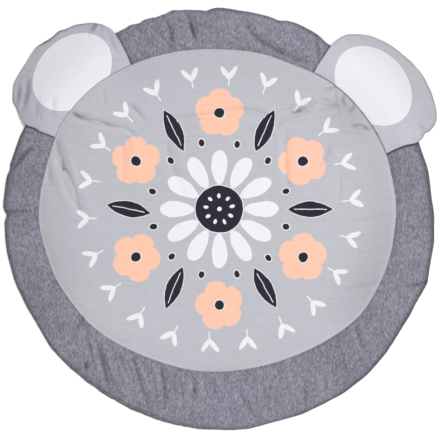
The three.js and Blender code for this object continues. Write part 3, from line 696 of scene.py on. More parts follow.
def disc_grid(cells, rows=None):
    """A square grid bent into a disc: for each of its points the share of the way out and the turn, the
    quads between them, and the points along the edge in order of turn."""
    line = np.linspace(-1, 1, cells + 1)
    a, b = np.meshgrid(line, line if rows is None else rows, indexing="ij")
    wide = np.abs(a) >= np.abs(b)
    with np.errstate(divide="ignore", invalid="ignore"):
        turn_wide = np.where(a >= 0, 0, np.pi) + np.pi / 4 * np.where(wide, b / a, 0)
        turn_tall = np.where(b >= 0, np.pi / 2, -np.pi / 2) - np.pi / 4 * np.where(wide, 0, a / b)
    turn = np.where(wide, turn_wide, turn_tall)
    turn = np.where(np.isfinite(turn), turn, 0)
    share = np.maximum(np.abs(a), np.abs(b))
    index = np.arange((cells + 1) ** 2).reshape(cells + 1, cells + 1)
    quads = np.stack([index[:-1, :-1], index[1:, :-1], index[1:, 1:], index[:-1, 1:]], axis=-1)
    edge = np.flatnonzero(share.ravel() > 1 - 1e-9)
    fraction = (np.degrees(turn).ravel() / 360) % 1
    edge = edge[np.argsort(np.round(fraction[edge], 9))]
    return share.ravel(), fraction, quads.reshape(-1, 4), edge


def painted_line_beside(far, dark, at, width):
    """A soft painted line along a seam, painted shade where dark is above 0 and painted light below it; far
    is the distance from the seam.
    """
    return dark * bell(far - at, width)


def border_painted_shade(x, y):
    """Painted light and shade on the border: how much darker it is painted in its creases, at the rim and
    beside the panel's seam and the ears, and painted darker or lighter as a whole.
    """
    angle = np.degrees(np.arctan2(y, x))
    inside = np.maximum(-beyond_rim(x, y), 0)
    dark = table_value([row[:2] for row in RIM_PAINTED_SHADE], angle)
    reach = table_value([row[::2] for row in RIM_PAINTED_SHADE], angle)
    light = 1 - dark * bell(inside, reach, 2.5)
    light = light * (1 - table_value(BORDER_PAINTED_LIGHT_AND_SHADE, angle))
    light = light * (1 - folds_painted_shadow(x, y, BORDER_FOLDS + FINE_BORDER_FOLDS, 51))
    light = light * (1 - painted_line_beside(beyond_panel(x, y), *SEAM_PAINTED_SHADE))
    for ear in EARS:
        first, last = ear["root"]
        at_first = np.abs(turn_between(angle, first)) < np.abs(turn_between(angle, last))
        painted_contact_shadow = np.where(at_first, ear["painted_contact_shadow"][0], ear["painted_contact_shadow"][1])
        close = np.abs(turn_between(angle, (first + last) / 2)) < CONTACT_REACH
        near = close & (inside < CONTACT_DEPTH)
        off = np.full(x.shape, np.inf)
        off[near] = np.maximum(-signed_distance(x[near], y[near], free_outline(ear)), 0)
        light = light * (1 - painted_contact_shadow * bell(off, CONTACT_PAINTED_SHADE_WIDTH, 3))
    return 1 - light


def panel_painted_shade(x, y):
    """Painted shade and light on the panel: how much darker it is painted in its creases, towards its sloping
    edge and at the ears' roots, with a painted light line along parts of its edge.
    """
    inside = np.maximum(-beyond_panel(x, y), 0)
    angle = np.degrees(np.arctan2(y - PANEL_Y, x - PANEL_X))
    slope = table_value(PANEL_PAINTED_SHADE, angle) * bell(inside, PANEL_PAINTED_SHADE_REACH)
    creases = folds_painted_shadow(x, y, PANEL_FOLDS + FINE_PANEL_FOLDS, 41)
    right_root = stretch(angle, ROOTS[:1], 5)
    left_root = stretch(angle, ROOTS[1:], 5)
    tight = 0.7 + 0.5 * noise(x / 26, y / 26, 43)
    root = tight * right_root * painted_line_beside(inside, *RIGHT_ROOT_PAINTED_SHADE)
    root = root + left_root * painted_line_beside(inside, *LEFT_ROOT_PAINTED_LIGHT)
    edge_painted_light = stretch(angle, PAINTED_LIGHT_EDGES, 10) * painted_line_beside(inside, *PANEL_EDGE_PAINTED_LIGHT)
    return 1 - (1 - slope) * (1 - creases) * (1 - root) * (1 + edge_painted_light)


def ear_painted_shade(x, y, ear, outline):
    """Painted shade on a flap: how much darker it is painted in its creases and along its free edge, and
    painted darker or lighter near the root, far from it and across it.
    """
    inset = np.maximum(signed_distance(x, y, outline), 0)
    beyond = beyond_panel(x, y)
    middle_x, middle_y = np.mean(ear["edge"], axis=0)
    dark = table_value(ear["edge_painted_shade"], np.degrees(np.arctan2(y - middle_y, x - middle_x)))
    edge = dark * ease(beyond, 3, 14) * bell(inset, EAR_EDGE_PAINTED_SHADE_WIDTH)
    creases = folds_painted_shadow(x, y, EAR_FOLDS + FINE_EAR_FOLDS, ear["seed"] + 5)
    # Painted light and shade over the whole flap, by its distance from the root and across it from left to
    # right
    near, far, across = ear["tone"]
    tone = near + (far - near) * ease(beyond, 0, 130) + across * (x - middle_x)
    return 1 - (1 - edge) * (1 - creases) * (1 - tone)


class Shell:
    """Collects the points and faces of one closed mesh, in millimetres about the pad's middle."""

    def __init__(self):
        self.points = []
        self.faces = []
        self.count = 0
        self.last = None

    def add(self, x, y, z):
        """Adds points and gives their numbers."""
        x, y, z = np.broadcast_arrays(x, y, z)
        self.points.append(np.stack([x, y, z], axis=-1).astype(float))
        start = self.count
        self.count += len(x)
        return np.arange(start, self.count)

    def ring(self, inner, outer):
        """Faces between two closed rows. The second runs outside the first, seen from the face's front, and
        has as many points, half as many or twice as many."""
        if len(inner) == len(outer):
            faces = np.stack([inner, outer, np.roll(outer, -1), np.roll(inner, -1)], axis=-1)
            self.faces += faces.tolist()
            return
        if len(outer) * 2 == len(inner):
            even = inner[0::2]
            odd = inner[1::2]
            following = np.roll(outer, -1)
            self.faces += np.stack([even, outer, odd], axis=-1).tolist()
            self.faces += np.stack([outer, following, odd], axis=-1).tolist()
            self.faces += np.stack([odd, following, np.roll(even, -1)], axis=-1).tolist()
            return
        even = outer[0::2]
        odd = outer[1::2]
        following = np.roll(inner, -1)
        self.faces += np.stack([inner, even, odd], axis=-1).tolist()
        self.faces += np.stack([inner, odd, following], axis=-1).tolist()
        self.faces += np.stack([odd, np.roll(even, -1), following], axis=-1).tolist()

    def row(self, x, y, z):
        """Adds a closed row of points, with faces back to the row before it."""
        added = self.add(x, y, z)
        self.ring(self.last, added)
        self.last = added

    def middle(self, x, y, height):
        """Adds one point, at the height that a function gives there, and gives its number."""
        point_x = np.array([x])
        point_y = np.array([y])
        return self.add(point_x, point_y, height(point_x, point_y))[0]

    def fan(self, point, row, outwards):
        following = np.roll(row, -1)
        middle = np.full(len(row), point)
        order = [middle, row, following] if outwards else [middle, following, row]
        self.faces += np.stack(order, axis=-1).tolist()

    def build(self, name, cloth_middle, painted_light_and_shade=None):
        """The mesh object in the row frame. Its attributes are each point's place on the flat cloth and the
        painted light and shade there: how much darker the cloth is painted."""
        points = np.concatenate(self.points)
        place = (points + np.array([DISC_X, DISC_Y, 0])) * MM
        mesh = bpy.data.meshes.new(name)
        mesh.from_pydata(place.tolist(), [], self.faces)
        mesh.polygons.foreach_set("use_smooth", np.ones(len(mesh.polygons), bool))
        cloth = points - np.array([cloth_middle[0], cloth_middle[1], 0])
        size = CLOTH_BEND_SIZE
        for axis in (0, 1):
            cloth[:, axis] += CLOTH_BEND * noise(points[:, 0] / size, points[:, 1] / size, 71 + axis)
        attribute = mesh.attributes.new("cloth", "FLOAT_VECTOR", "POINT")
        attribute.data.foreach_set("vector", cloth.astype(np.float32).ravel())
        if painted_light_and_shade is not None:
            attribute = mesh.attributes.new("painted_light_and_shade", "FLOAT", "POINT")
            attribute.data.foreach_set("value", painted_light_and_shade(points[:, 0], points[:, 1]).astype(np.float32))
        mesh.update()
        made = bpy.data.objects.new(name, mesh)
        bpy.context.scene.collection.objects.link(made)
        return made


def round_edge(inside, width):
    """Height of a quarter circle, from 0 at an edge to 1 at that distance inside it."""
    return np.sqrt(np.maximum(1 - (1 - np.minimum(inside / width, 1)) ** 2, 0))


def drawn_in(x, y, middle_x, middle_y, share):
    """Places drawn in about a middle, to that share of their distance from it."""
    return middle_x + (x - middle_x) * share, middle_y + (y - middle_y) * share


def even_turns(times):
    """Angles of the pad's columns, halved in number so many times."""
    count = PAD_COLUMNS // 2**times
    return np.arange(count) * 360 / count


def hidden_height(x, y):
    """The stuffed body's top under the panel."""
    return base_height(x, y) - HIDDEN_DROP


def pad_piece():
    """The stuffed disc: hidden top under the panel, border, rolled rim with its seam, and flat underside."""
    shell = Shell()
    centre = shell.middle(PANEL_X, PANEL_Y, hidden_height)
    for share, times in HIDDEN_ROWS:
        x, y = oval_point(even_turns(times), share)
        height = eased_above(hidden_height(x, y), HIDDEN_LEAST)
        if shell.last is None:
            shell.last = shell.add(x, y, height)
            shell.fan(centre, shell.last, True)
        else:
            shell.row(x, y, height)
    turns = even_turns(0)
    seam_x, seam_y = oval_point(turns)
    rim_x, rim_y = rim_point(turns)
    width = np.hypot(rim_x - seam_x, rim_y - seam_y)
    shares = [row / width for row in SEAM_ROWS]
    start = SEAM_ROWS[-1] / width
    end = 1 - RIM_ROWS[0] / width
    shares += [start + (end - start) * k / MIDDLE_ROWS for k in range(1, MIDDLE_ROWS)]
    for share in shares:
        x, y = drawn_in(rim_x, rim_y, seam_x, seam_y, share)
        shell.row(x, y, eased_above(border_height(x, y), RIM_LEAST))
    add_rim(shell, turns, rim_x, rim_y)
    for inset, times in UNDERSIDE_ROWS:
        x, y = rim_point(even_turns(times), inset)
        shell.row(x, y, 0.0)
    shell.fan(shell.middle(0.0, 0.0, lambda x, y: 0.0), shell.last, False)
    return shell.build("pad_cover", (0, 0), border_painted_shade)


def add_rim(shell, turns, rim_x, rim_y):
    """The border's last rows, which curl down, and the nose with its seam."""
    rolled = stretch(turns, ROLLED, 7)
    radial_x = rim_x / np.hypot(rim_x, rim_y)
    radial_y = rim_y / np.hypot(rim_x, rim_y)
    for inset in RIM_ROWS:
        x = rim_x - inset * radial_x
        y = rim_y - inset * radial_y
        groove = ROLL_GROOVE * rolled * bell(inset - ROLL_LINE_INSET, 1.0)
        drop = ROLL_DROP * rolled * ease(ROLL_LINE_INSET - inset, 0, 1.5)
        roll = RIM_ROLL * (1 - round_edge(inset, RIM_ROLL_WIDTH))
        shell.row(x, y, eased_above(border_height(x, y) - groove - drop - roll, RIM_LEAST))
    seam = NOSE_SEAM_DEPTH * (1 - rolled)
    wave = round_noise(turns, 190, 26) * (0.15 + 0.35 * stretch(turns, GATHERED, 3))
    for inset, z, in_seam in NOSE_ROWS:
        depth = inset * seam if in_seam else inset
        shell.row(rim_x - depth * radial_x, rim_y - depth * radial_y, z + wave * min(z / 3, 1) * 0.7)


def border_height(x, y):
    """The border's surface, tucked in under the panel's edge."""
    outside = beyond_panel(x, y)
    tuck = 0.9 * (1 - ease(outside, -0.2, 3.4)) + 2.2 * ease(outside, 0.4, -2.4)
    return base_height(x, y) - tuck


def panel_top(x, y):
    """The panel's surface: it rolls down over its edge and is drawn in along the stitches."""
    inside = np.maximum(-beyond_panel(x, y), 0)
    roll = PANEL_ROLL * (1 - round_edge(inside, PANEL_ROLL_WIDTH))
    pulled = STITCH_PULL * bell(inside - STITCH_INSET, STITCH_PULL_WIDTH)
    return base_height(x, y) + GAP + PANEL_LIFT - roll - pulled


def panel_piece():
    """The oval face panel, a closed sheet that lies on the stuffed disc."""
    shell = Shell()
    rows = closer_rows(PANEL_CELLS, *PANEL_ROWS_CROWD)
    share, fraction, quads, edge = disc_grid(PANEL_CELLS, rows)
    outline_x, outline_y = oval_point(fraction * 360)
    far = np.hypot(outline_x - PANEL_X, outline_y - PANEL_Y)
    reach = share * (1 - PANEL_GRID_INSET / far)
    x, y = drawn_in(outline_x, outline_y, PANEL_X, PANEL_Y, reach)
    shell.add(x, y, panel_top(x, y))
    shell.faces += quads.tolist()
    shell.last = edge
    edge_x = outline_x[edge]
    edge_y = outline_y[edge]
    edge_far = far[edge]
    for inset in PANEL_EDGE_ROWS:
        x, y = drawn_in(edge_x, edge_y, PANEL_X, PANEL_Y, 1 - inset / edge_far)
        shell.row(x, y, panel_top(x, y))
    for inset, drop, times in PANEL_LOW_ROWS:
        step = 2**times
        reach = 1 - inset / edge_far[::step]
        x, y = drawn_in(edge_x[::step], edge_y[::step], PANEL_X, PANEL_Y, reach)
        shell.row(x, y, base_height(x, y) - drop)
    centre = shell.middle(PANEL_X, PANEL_Y, lambda x, y: base_height(x, y) - PANEL_THICKNESS)
    shell.fan(centre, shell.last, False)
    return shell.build("face_panel", (PANEL_X, PANEL_Y), panel_painted_shade)


def smooth_curve(points, share):
    """Places on a smooth curve through points, at shares of its length, and its sideways direction there."""
    points = np.array(points, float)
    count = len(points) - 1
    t = np.linspace(0, count, 60 * count + 1)
    k = np.minimum(t.astype(int), count - 1)
    u = (t - k)[:, None]
    start = points[k]
    end = points[k + 1]
    leave = (end - points[np.maximum(k - 1, 0)]) / 2
    arrive = (points[np.minimum(k + 2, count)] - start) / 2
    line = start + u * leave + u**2 * (3 * end - 3 * start - 2 * leave - arrive)
    line += u**3 * (2 * start - 2 * end + leave + arrive)
    steps = np.diff(line, axis=0)
    gone = np.concatenate([[0], np.cumsum(np.hypot(steps[:, 0], steps[:, 1]))])
    ahead = np.gradient(line, axis=0)
    ahead /= np.hypot(ahead[:, :1], ahead[:, 1:])
    x, y, along_x, along_y = (np.interp(share * gone[-1], gone, part) for part in (*line.T, *ahead.T))
    return x, y, along_y, -along_x


def lobe_point(ear, share):
    """The free outline of a flap, from one end of its root round to the other."""
    ends = [oval_point(np.array(angle), 1, GAP) for angle in ear["root"]]
    x, y, side_x, side_y = smooth_curve([ends[0], *ear["edge"], ends[1]], share)
    ripple = noise(share * 34, share * 0 + 0.5, ear["seed"]) + 0.6 * noise(share * 61, share * 0 + 2.5, 61)
    ripple = ripple * np.sin(np.pi * share) ** 0.6 * ear["fine_pucker"]
    return x + side_x * ripple, y + side_y * ripple


def ear_outline(ear, count):
    """The whole outline of a flap: three quarters of it the free edge, then back along the root."""
    k = np.arange(count)
    free = count * 3 // 4
    free_x, free_y = lobe_point(ear, np.minimum(k / free, 1))
    part = (k - free) / (count - free)
    angle = ear["root"][1] + (ear["root"][0] - ear["root"][1]) * part
    root_x, root_y = oval_point(angle, 1, GAP)
    on_root = k >= free
    return np.where(on_root, root_x, free_x), np.where(on_root, root_y, free_y), k / free


def free_outline(ear):
    """The whole outline of a flap as a row of points."""
    x, y, _ = ear_outline(ear, 240)
    return np.stack([x, y], axis=-1)


def ear_rest(x, y, dip, dip_width):
    """What a flap lies on: the border, then down past the rim to the floor, with a dip at its root."""
    past = beyond_rim(x, y)
    on_border = 1 - ease(past, DROOP_START, DROOP_END)
    root = dip * bell(beyond_panel(x, y), dip_width)
    full = ease(-past, 0, 2 * SHOULDER)
    return on_border * (PAD_LOFT + EAR_LIFT + full * stuffing(x, y)) - on_border * root


def ear_underside(x, y):
    return ear_rest(x, y, EAR_ROOT_DIP, EAR_ROOT_DIP_WIDTH)


def ear_piece(ear):
    """One padded flap with a seam round its free edge."""
    shell = Shell()
    share, fraction, quads, edge = disc_grid(EAR_CELLS)
    count = len(edge)
    outline_x, outline_y, along = ear_outline(ear, count)
    middle_x = outline_x.mean()
    middle_y = outline_y.mean()
    step = fraction * count
    step_low = np.floor(step).astype(int) % count
    step_part = step - np.floor(step)
    step_high = (step_low + 1) % count
    to_x = outline_x[step_low] * (1 - step_part) + outline_x[step_high] * step_part
    to_y = outline_y[step_low] * (1 - step_part) + outline_y[step_high] * step_part
    free_place = along[step_low] * (1 - step_part) + along[step_high] * step_part
    free_place = np.where(along[step_low] >= 1, 2.0, free_place)

    def ends(place):
        """0 at the two ends of the free edge and along the root, so that nothing starts there with a step."""
        return ease(place, 0, 0.06) * ease(place, 1, 0.94)

    def lift(place, out):
        """The stretch of the free edge that stands a little off the border."""
        raised = bell(place - ear["lift_at"], ear["lift_over"])
        return ear["lift"] * raised * ease(out, 0.55, 1.0) * ends(place)

    def puckers(place, out):
        wave = noise(place * 46, out * 1.6, ear["seed"] + 1) + 0.6 * noise(place * 84, out * 2.4, 62)
        return ear["fine_pucker"] * wave * ease(out, 0.62, 0.93) * ends(place)

    def upper(x, y, out, place, inset):
        swell = EAR_EDGE + (EAR_LOFT - EAR_EDGE) * (1 - out**EAR_SWELL_POWER)
        rise = ease(beyond_panel(x, y), *EAR_ROOT_RISE)
        swell = EAR_ROOT_SWELL + (swell - EAR_ROOT_SWELL) * rise
        folds = folds_depth(x, y, EAR_FOLDS + FINE_EAR_FOLDS, ear["seed"] + 5) * (1 - out**EAR_FOLD_FADE)
        soft = bumps(x, y, EAR_SOFTNESS, ear["seed"] + 7)
        nose = round_edge(inset, EAR_NOSE)
        body = swell - folds + (soft + puckers(place, out)) * ease(inset, 0, 5)
        root_roll = EAR_ROOT_ROLL * (1 - ease(beyond_panel(x, y), 0.3, 2.8))
        rest = ear_rest(x, y, EAR_TOP_DIP, EAR_TOP_DIP_WIDTH) + lift(place, out)
        raised = rest + EAR_NOSE_HEIGHT + (body - EAR_NOSE_HEIGHT) * nose - root_roll
        return eased_above(raised, ear_underside(x, y) + lift(place, out) + EAR_LEAST)

    inner = 1 - EAR_GRID_INSET / np.hypot(to_x - middle_x, to_y - middle_y)
    out = share * inner
    x, y = drawn_in(to_x, to_y, middle_x, middle_y, out)
    inset = (1 - out) * np.hypot(to_x - middle_x, to_y - middle_y)
    shell.add(x, y, upper(x, y, out, free_place, inset))
    shell.faces += quads.tolist()
    shell.last = edge
    edge_x = to_x[edge]
    edge_y = to_y[edge]
    edge_place = free_place[edge]
    edge_far = np.hypot(edge_x - middle_x, edge_y - middle_y)
    for inset in EAR_EDGE_ROWS:
        out = 1 - inset / edge_far
        x, y = drawn_in(edge_x, edge_y, middle_x, middle_y, out)
        shell.row(x, y, upper(x, y, out, edge_place, inset))
    for inset, z in EAR_NOSE_ROWS:
        out = 1 - inset / edge_far
        x, y = drawn_in(edge_x, edge_y, middle_x, middle_y, out)
        shell.row(x, y, ear_underside(x, y) + lift(edge_place, out) + z)
    for reach, times in EAR_LOW_SHARES:
        skip = 2**times
        x, y = drawn_in(edge_x[::skip], edge_y[::skip], middle_x, middle_y, reach)
        out = np.full(x.shape, reach)
        shell.row(x, y, ear_underside(x, y) + lift(edge_place[::skip], out))
    shell.fan(shell.middle(middle_x, middle_y, ear_underside), shell.last, False)
    outline = free_outline(ear)
    made = shell.build(
        ear["name"] + "_cover", (middle_x, middle_y), lambda x, y: ear_painted_shade(x, y, ear, outline)
    )
    paint_inner_ear(made, ear, np.concatenate(shell.points))
    return made


def white_oval(ear):
    """Outline of the plain white oval on a flap. The panel's edge cuts it off at the root."""
    (ax, ay), (bx, by) = [oval_point(np.array(angle), 1, GAP) for angle in ear["root"]]
    root = np.hypot(bx - ax, by - ay)
    along_x = (bx - ax) / root
    along_y = (by - ay) / root
    place, out, half_length, half_height = ear["white"]
    turn = np.linspace(0, 2 * np.pi, 180, endpoint=False)
    u = place + half_length * np.cos(turn)
    v = out + half_height * np.sin(turn)
    x = (ax + bx) / 2 + u * along_x + v * along_y
    y = (ay + by) / 2 + u * along_y - v * along_x
    return np.stack([x, y], axis=-1)


def signed_distance(x, y, outline):
    """Distance of points from a closed outline, positive inside."""
    best = np.full(x.shape, 1e9)
    crossings = np.zeros(x.shape, int)
    for a, b in zip(outline, np.roll(outline, -1, axis=0)):
        along = b - a
        best = np.minimum(best, off_segment(x, y, a, along)[0])
        spans = (a[1] > y) != (b[1] > y)
        rise = along[1] if along[1] != 0 else 1e-9
        crossings += spans & (x < along[0] * (y - a[1]) / rise + a[0])
    return np.where(crossings % 2 == 1, best, -best)


def paint_inner_ear(made, ear, points):
    """Stores how deep inside the white lobe each point of a flap lies. The underside has none."""
    far = signed_distance(points[:, 0], points[:, 1], white_oval(ear))
    grid_points = (EAR_CELLS + 1) ** 2
    far[grid_points + 4 * EAR_CELLS * len(EAR_EDGE_ROWS):] = -50
    attribute = made.data.attributes.new("white_lobe", "FLOAT", "POINT")
    attribute.data.foreach_set("value", far.astype(np.float32))


def stitches_piece():
    """The row of small stitches just inside the panel's edge."""
    turns = np.linspace(0, 360, 6001)
    x, y = oval_point(turns)
    far = np.hypot(x - PANEL_X, y - PANEL_Y)
    x, y = drawn_in(x, y, PANEL_X, PANEL_Y, 1 - STITCH_INSET / far)
    gone = np.concatenate([[0], np.cumsum(np.hypot(np.diff(x), np.diff(y)))])
    count = int(gone[-1] / STITCH_PITCH)
    rng = np.random.default_rng(7)
    starts = (np.arange(count) + STITCH_UNEVENNESS * rng.random(count)) * gone[-1] / count
    along_part, rise, thick = np.array(STITCH_PROFILE).T
    shell = Shell()
    place = starts[:, None] + along_part * STITCH_LENGTH
    line_x = np.interp(place, gone, x)
    line_y = np.interp(place, gone, y)
    line_z = panel_top(line_x.ravel(), line_y.ravel()).reshape(line_x.shape) + rise * STITCH_RADIUS
    across_x = line_x - PANEL_X
    across_y = line_y - PANEL_Y
    length = np.hypot(across_x, across_y)
    around = np.arange(STITCH_SIDES) * 2 * np.pi / STITCH_SIDES
    side = np.cos(around)[None, None, :] * (STITCH_RADIUS * thick)[None, :, None]
    up = np.sin(around)[None, None, :] * (STITCH_RADIUS * STITCH_HEIGHT * thick)[None, :, None]
    ring_x = line_x[..., None] + (across_x / length)[..., None] * side
    ring_y = line_y[..., None] + (across_y / length)[..., None] * side
    ring_z = line_z[..., None] + up
    shell.add(ring_x.ravel(), ring_y.ravel(), ring_z.ravel())
    rows = len(along_part)
    index = np.arange(count * rows * STITCH_SIDES).reshape(count, rows, STITCH_SIDES)
    for k in range(rows - 1):
        near = index[:, k]
        ahead = index[:, k + 1]
        faces = np.stack([near, ahead, np.roll(ahead, -1, axis=1), np.roll(near, -1, axis=1)], axis=-1)
        shell.faces += faces.reshape(-1, 4).tolist()
    shell.faces += index[:, 0].tolist()
    shell.faces += index[:, -1, ::-1].tolist()
    return shell.build("edge_stitches", (PANEL_X, PANEL_Y))


def linear(red, green, blue):
    """A colour as the eye reads it, 0 to 255, in the linear values that the shader takes."""
    parts = [c / 255 for c in (red, green, blue)]
    values = [c / 12.92 if c <= 0.04045 else ((c + 0.055) / 1.055) ** 2.4 for c in parts]
    return (*values, 1.0)


class Graph:
    """The nodes of one material, put together by calls that read like sums."""

    def __init__(self, name, roughness, sheen):
        self.material = bpy.data.materials.new(name)
        self.material.use_nodes = True
        self.tree = self.material.node_tree
        self.shader = self.tree.nodes["Principled BSDF"]
        self.shader.inputs["Roughness"].default_value = roughness
        self.shader.inputs["Specular IOR Level"].default_value = CLOTH_SPECULAR
        self.shader.inputs["Sheen Weight"].default_value = sheen
        self.shader.inputs["Sheen Roughness"].default_value = SHEEN_ROUGHNESS
        cloth = self.node("ShaderNodeAttribute", attribute_name="cloth")
        self.cloth = cloth.outputs["Vector"]
        parts = self.node("ShaderNodeSeparateXYZ", {"Vector": self.cloth})
        self.x = parts.outputs["X"]
        self.y = parts.outputs["Y"]

    def node(self, kind, inputs=None, **settings):
        made = self.tree.nodes.new(kind)
        for key, value in settings.items():
            setattr(made, key, value)
        for key, value in (inputs or {}).items():
            self.feed(made.inputs[key], value)
        return made

    def feed(self, socket, value):
        if isinstance(value, bpy.types.NodeSocket):
            self.tree.links.new(value, socket)
        else:
            socket.default_value = value

    def math(self, operation, *values):
        made = self.node("ShaderNodeMath", operation=operation)
        for socket, value in zip(made.inputs, values):
            self.feed(socket, value)
        return made.outputs["Value"]

    def add(self, a, b):
        return self.math("ADD", a, b)

    def sub(self, a, b):
        return self.math("SUBTRACT", a, b)

    def mul(self, a, b):
        return self.math("MULTIPLY", a, b)

    def div(self, a, b):
        return self.math("DIVIDE", a, b)

    def weighted(self, *parts):
        """The sum of some values, each times its weight."""
        total = None
        for value, weight in parts:
            part = self.mul(value, weight)
            total = part if total is None else self.add(total, part)
        return total

    def length(self, a, b):
        return self.math("SQRT", self.add(self.mul(a, a), self.mul(b, b)))

    def smooth(self, value, start, end):
        """Smooth step from 0 at start to 1 at end."""
        inputs = {"Value": value, "From Min": start, "From Max": end}
        made = self.node("ShaderNodeMapRange", inputs, interpolation_type="SMOOTHSTEP")
        return made.outputs["Result"]

    def inside(self, value, edge, soft=0.5):
        """1 where the value, in millimetres, is below an edge."""
        return self.smooth(value, edge + soft, edge - soft)

    def noise(self, size_x, size_y, detail=2.0, offset=0.0):
        """Noise of that size in millimetres along the cloth's two directions."""
        scale = (1 / size_x, 1 / size_y, 1 / max(size_x, size_y))
        inputs = {"Vector": self.cloth, "Scale": scale, "Location": (offset, offset, 0)}
        place = self.node("ShaderNodeMapping", inputs)
        inputs = {"Vector": place.outputs["Vector"], "Scale": 1.0, "Detail": detail, "Roughness": 0.55}
        return self.node("ShaderNodeTexNoise", inputs).outputs["Fac"]

    def crumple(self, size, far):
        """Bends the cloth's place by so many millimetres, so that its grain doesn't run dead straight."""
        inputs = {"Vector": self.cloth, "Scale": 1 / size, "Detail": 1.0}
        bend = self.node("ShaderNodeTexNoise", inputs).outputs["Color"]
        inputs = {0: bend, 1: (0.5, 0.5, 0.5)}
        centred = self.node("ShaderNodeVectorMath", inputs, operation="SUBTRACT").outputs["Vector"]
        inputs = {0: centred, 1: (2 * far, 2 * far, 0), 2: self.cloth}
        moved = self.node("ShaderNodeVectorMath", inputs, operation="MULTIPLY_ADD")
        self.cloth = moved.outputs["Vector"]

    def mix(self, share, a, b):
        made = self.node("ShaderNodeMix", data_type="RGBA")
        self.feed(made.inputs[0], share)
        self.feed(made.inputs[6], a)
        self.feed(made.inputs[7], b)
        return made.outputs[2]

    def chance(self, index, seed):
        """A steady random number from 0 to 1 for each index."""
        made = self.node("ShaderNodeTexWhiteNoise", {"W": self.add(index, seed)}, noise_dimensions="1D")
        return made.outputs["Value"]

    def sway(self, index, seed, spread):
        """A steady random number about 0 for each index, from end to end that spread."""
        return self.mul(self.sub(self.chance(index, seed), 0.5), spread)

    def knit(self, wale, course):
        """Height of a jersey's small loops: columns of them along Y."""
        column = self.div(self.x, wale)
        off = self.mul(self.math("ABSOLUTE", self.sub(self.math("FRACT", column), 0.5)), 2.0)
        rows = self.add(self.div(self.y, course), self.mul(off, 0.55))
        loop = self.math("SINE", self.mul(rows, 2 * math.pi))
        crown = self.sub(1.0, self.mul(off, off))
        return self.mul(crown, self.add(0.65, self.mul(loop, 0.35)))

    def with_painted_light_and_shade(self, colour):
        """The colour with the mesh's painted light and shade: made darker by the share that the mesh says,
        lighter where it is below 0.
        """
        painted_light_and_shade = self.node("ShaderNodeAttribute", attribute_name="painted_light_and_shade").outputs["Fac"]
        inputs = {0: colour, "Scale": self.sub(1.0, painted_light_and_shade)}
        return self.node("ShaderNodeVectorMath", inputs, operation="SCALE").outputs["Vector"]

    def finish(self, colour, height, distance):
        """Wires the colour, with the mesh's painted light and shade, and a bump of that height, in metres, to
        the shader.
        """
        self.tree.links.new(self.with_painted_light_and_shade(colour), self.shader.inputs["Base Color"])
        inputs = {"Height": height, "Strength": 1.0, "Distance": distance}
        bump = self.node("ShaderNodeBump", inputs)
        self.tree.links.new(bump.outputs["Normal"], self.shader.inputs["Normal"])
        return self.material


# Colours as the eye reads them
BORDER_DARK = (94, 92, 106)
BORDER_MIDDLE = (125, 123, 136)
BORDER_LIGHT = (156, 154, 167)
BORDER_GLINT = (172, 170, 182)
PANEL_COOL = (181, 182, 187)
PANEL_LILAC = (182, 181, 190)
PANEL_STREAK = (171, 172, 180)
# The same grey jersey on both ears; the left ear's grey is painted darker, as painted shade
EAR_GREYS_WITH_PAINTED_SHADE = {"ear_left": (176, 175, 185), "ear_right": (182, 180, 189)}
EAR_STREAK_DROP = 11
EAR_WHITE = (216, 214, 220)
WHITE_INK = (224, 223, 229)
CHARCOAL_INK = (34, 32, 45)
PEACH_INK = (238, 187, 163)
THREAD = (200, 199, 206)
# The thread's grooves between its twists are painted darker, as painted shade
THREAD_PAINTED_SHADE_DROP = 14  # how much darker the thread is between its twists

# The wreath, in millimetres about the panel's middle: how many of each motif, the radius of their ring, and
# their half length and half width
SPRIGS = 22
SPRIG_RING = 292.0
SPRIG_LEAF = (17.0, 5.6)
SPRIG_LEAF_PLACE = (9.0, 8.5)  # outwards and to the side
SPRIG_LEAF_TURN = 0.62
SPRIG_STEM = (12.0, 1.5)
SPRIG_STEM_DROP = 9.0
BLOSSOMS = 6  # and as many leaves
LEAF_RING = 200.0
LEAF = (50.0, 17.0)
LEAF_VEIN = (36.0, 0.9)
BLOSSOM_RING = 212.0
BLOSSOM_PETALS = 5
BLOSSOM_RADIUS = 54.0
BLOSSOM_TURN = 1.25  # the most that chance turns one, in radians
BLOSSOM_NOTCH = 0.26  # how far in the petals part, as a share of the radius
BLOSSOM_HEART = 11.0
DOTS = 12
DOT_RING = 150.0
DOT = (8.0, 6.4)
PETALS = 12
PETAL_RING = 92.0
PETAL = (38.0, 17.0)
PETAL_TAPER = 0.006
DAISY_HEART = 52.0
DAISY_CORE = 5.0
SPECKS = 9
SPECK_RING = 29.0
SPECK = (5.5, 3.6)
PRINT_BEND = 5.0

# Surfaces of the cloths
CLOTH_SPECULAR = 0.25
SHEEN_ROUGHNESS = 0.55
JERSEY = (0.93, 0.1)  # roughness and sheen
MELANGE = (0.95, 0.12)
BORDER_BUMP = 0.00022  # in metres
PALE_BUMP = 0.00014
THREAD_BUMP = 0.00006
BORDER_KNIT = (1.3, 1.05)  # width and length of a loop
PALE_KNIT = (1.15, 0.95)
BORDER_CRUMPLE = (14.0, 4.5)  # size, and how far the grain bends

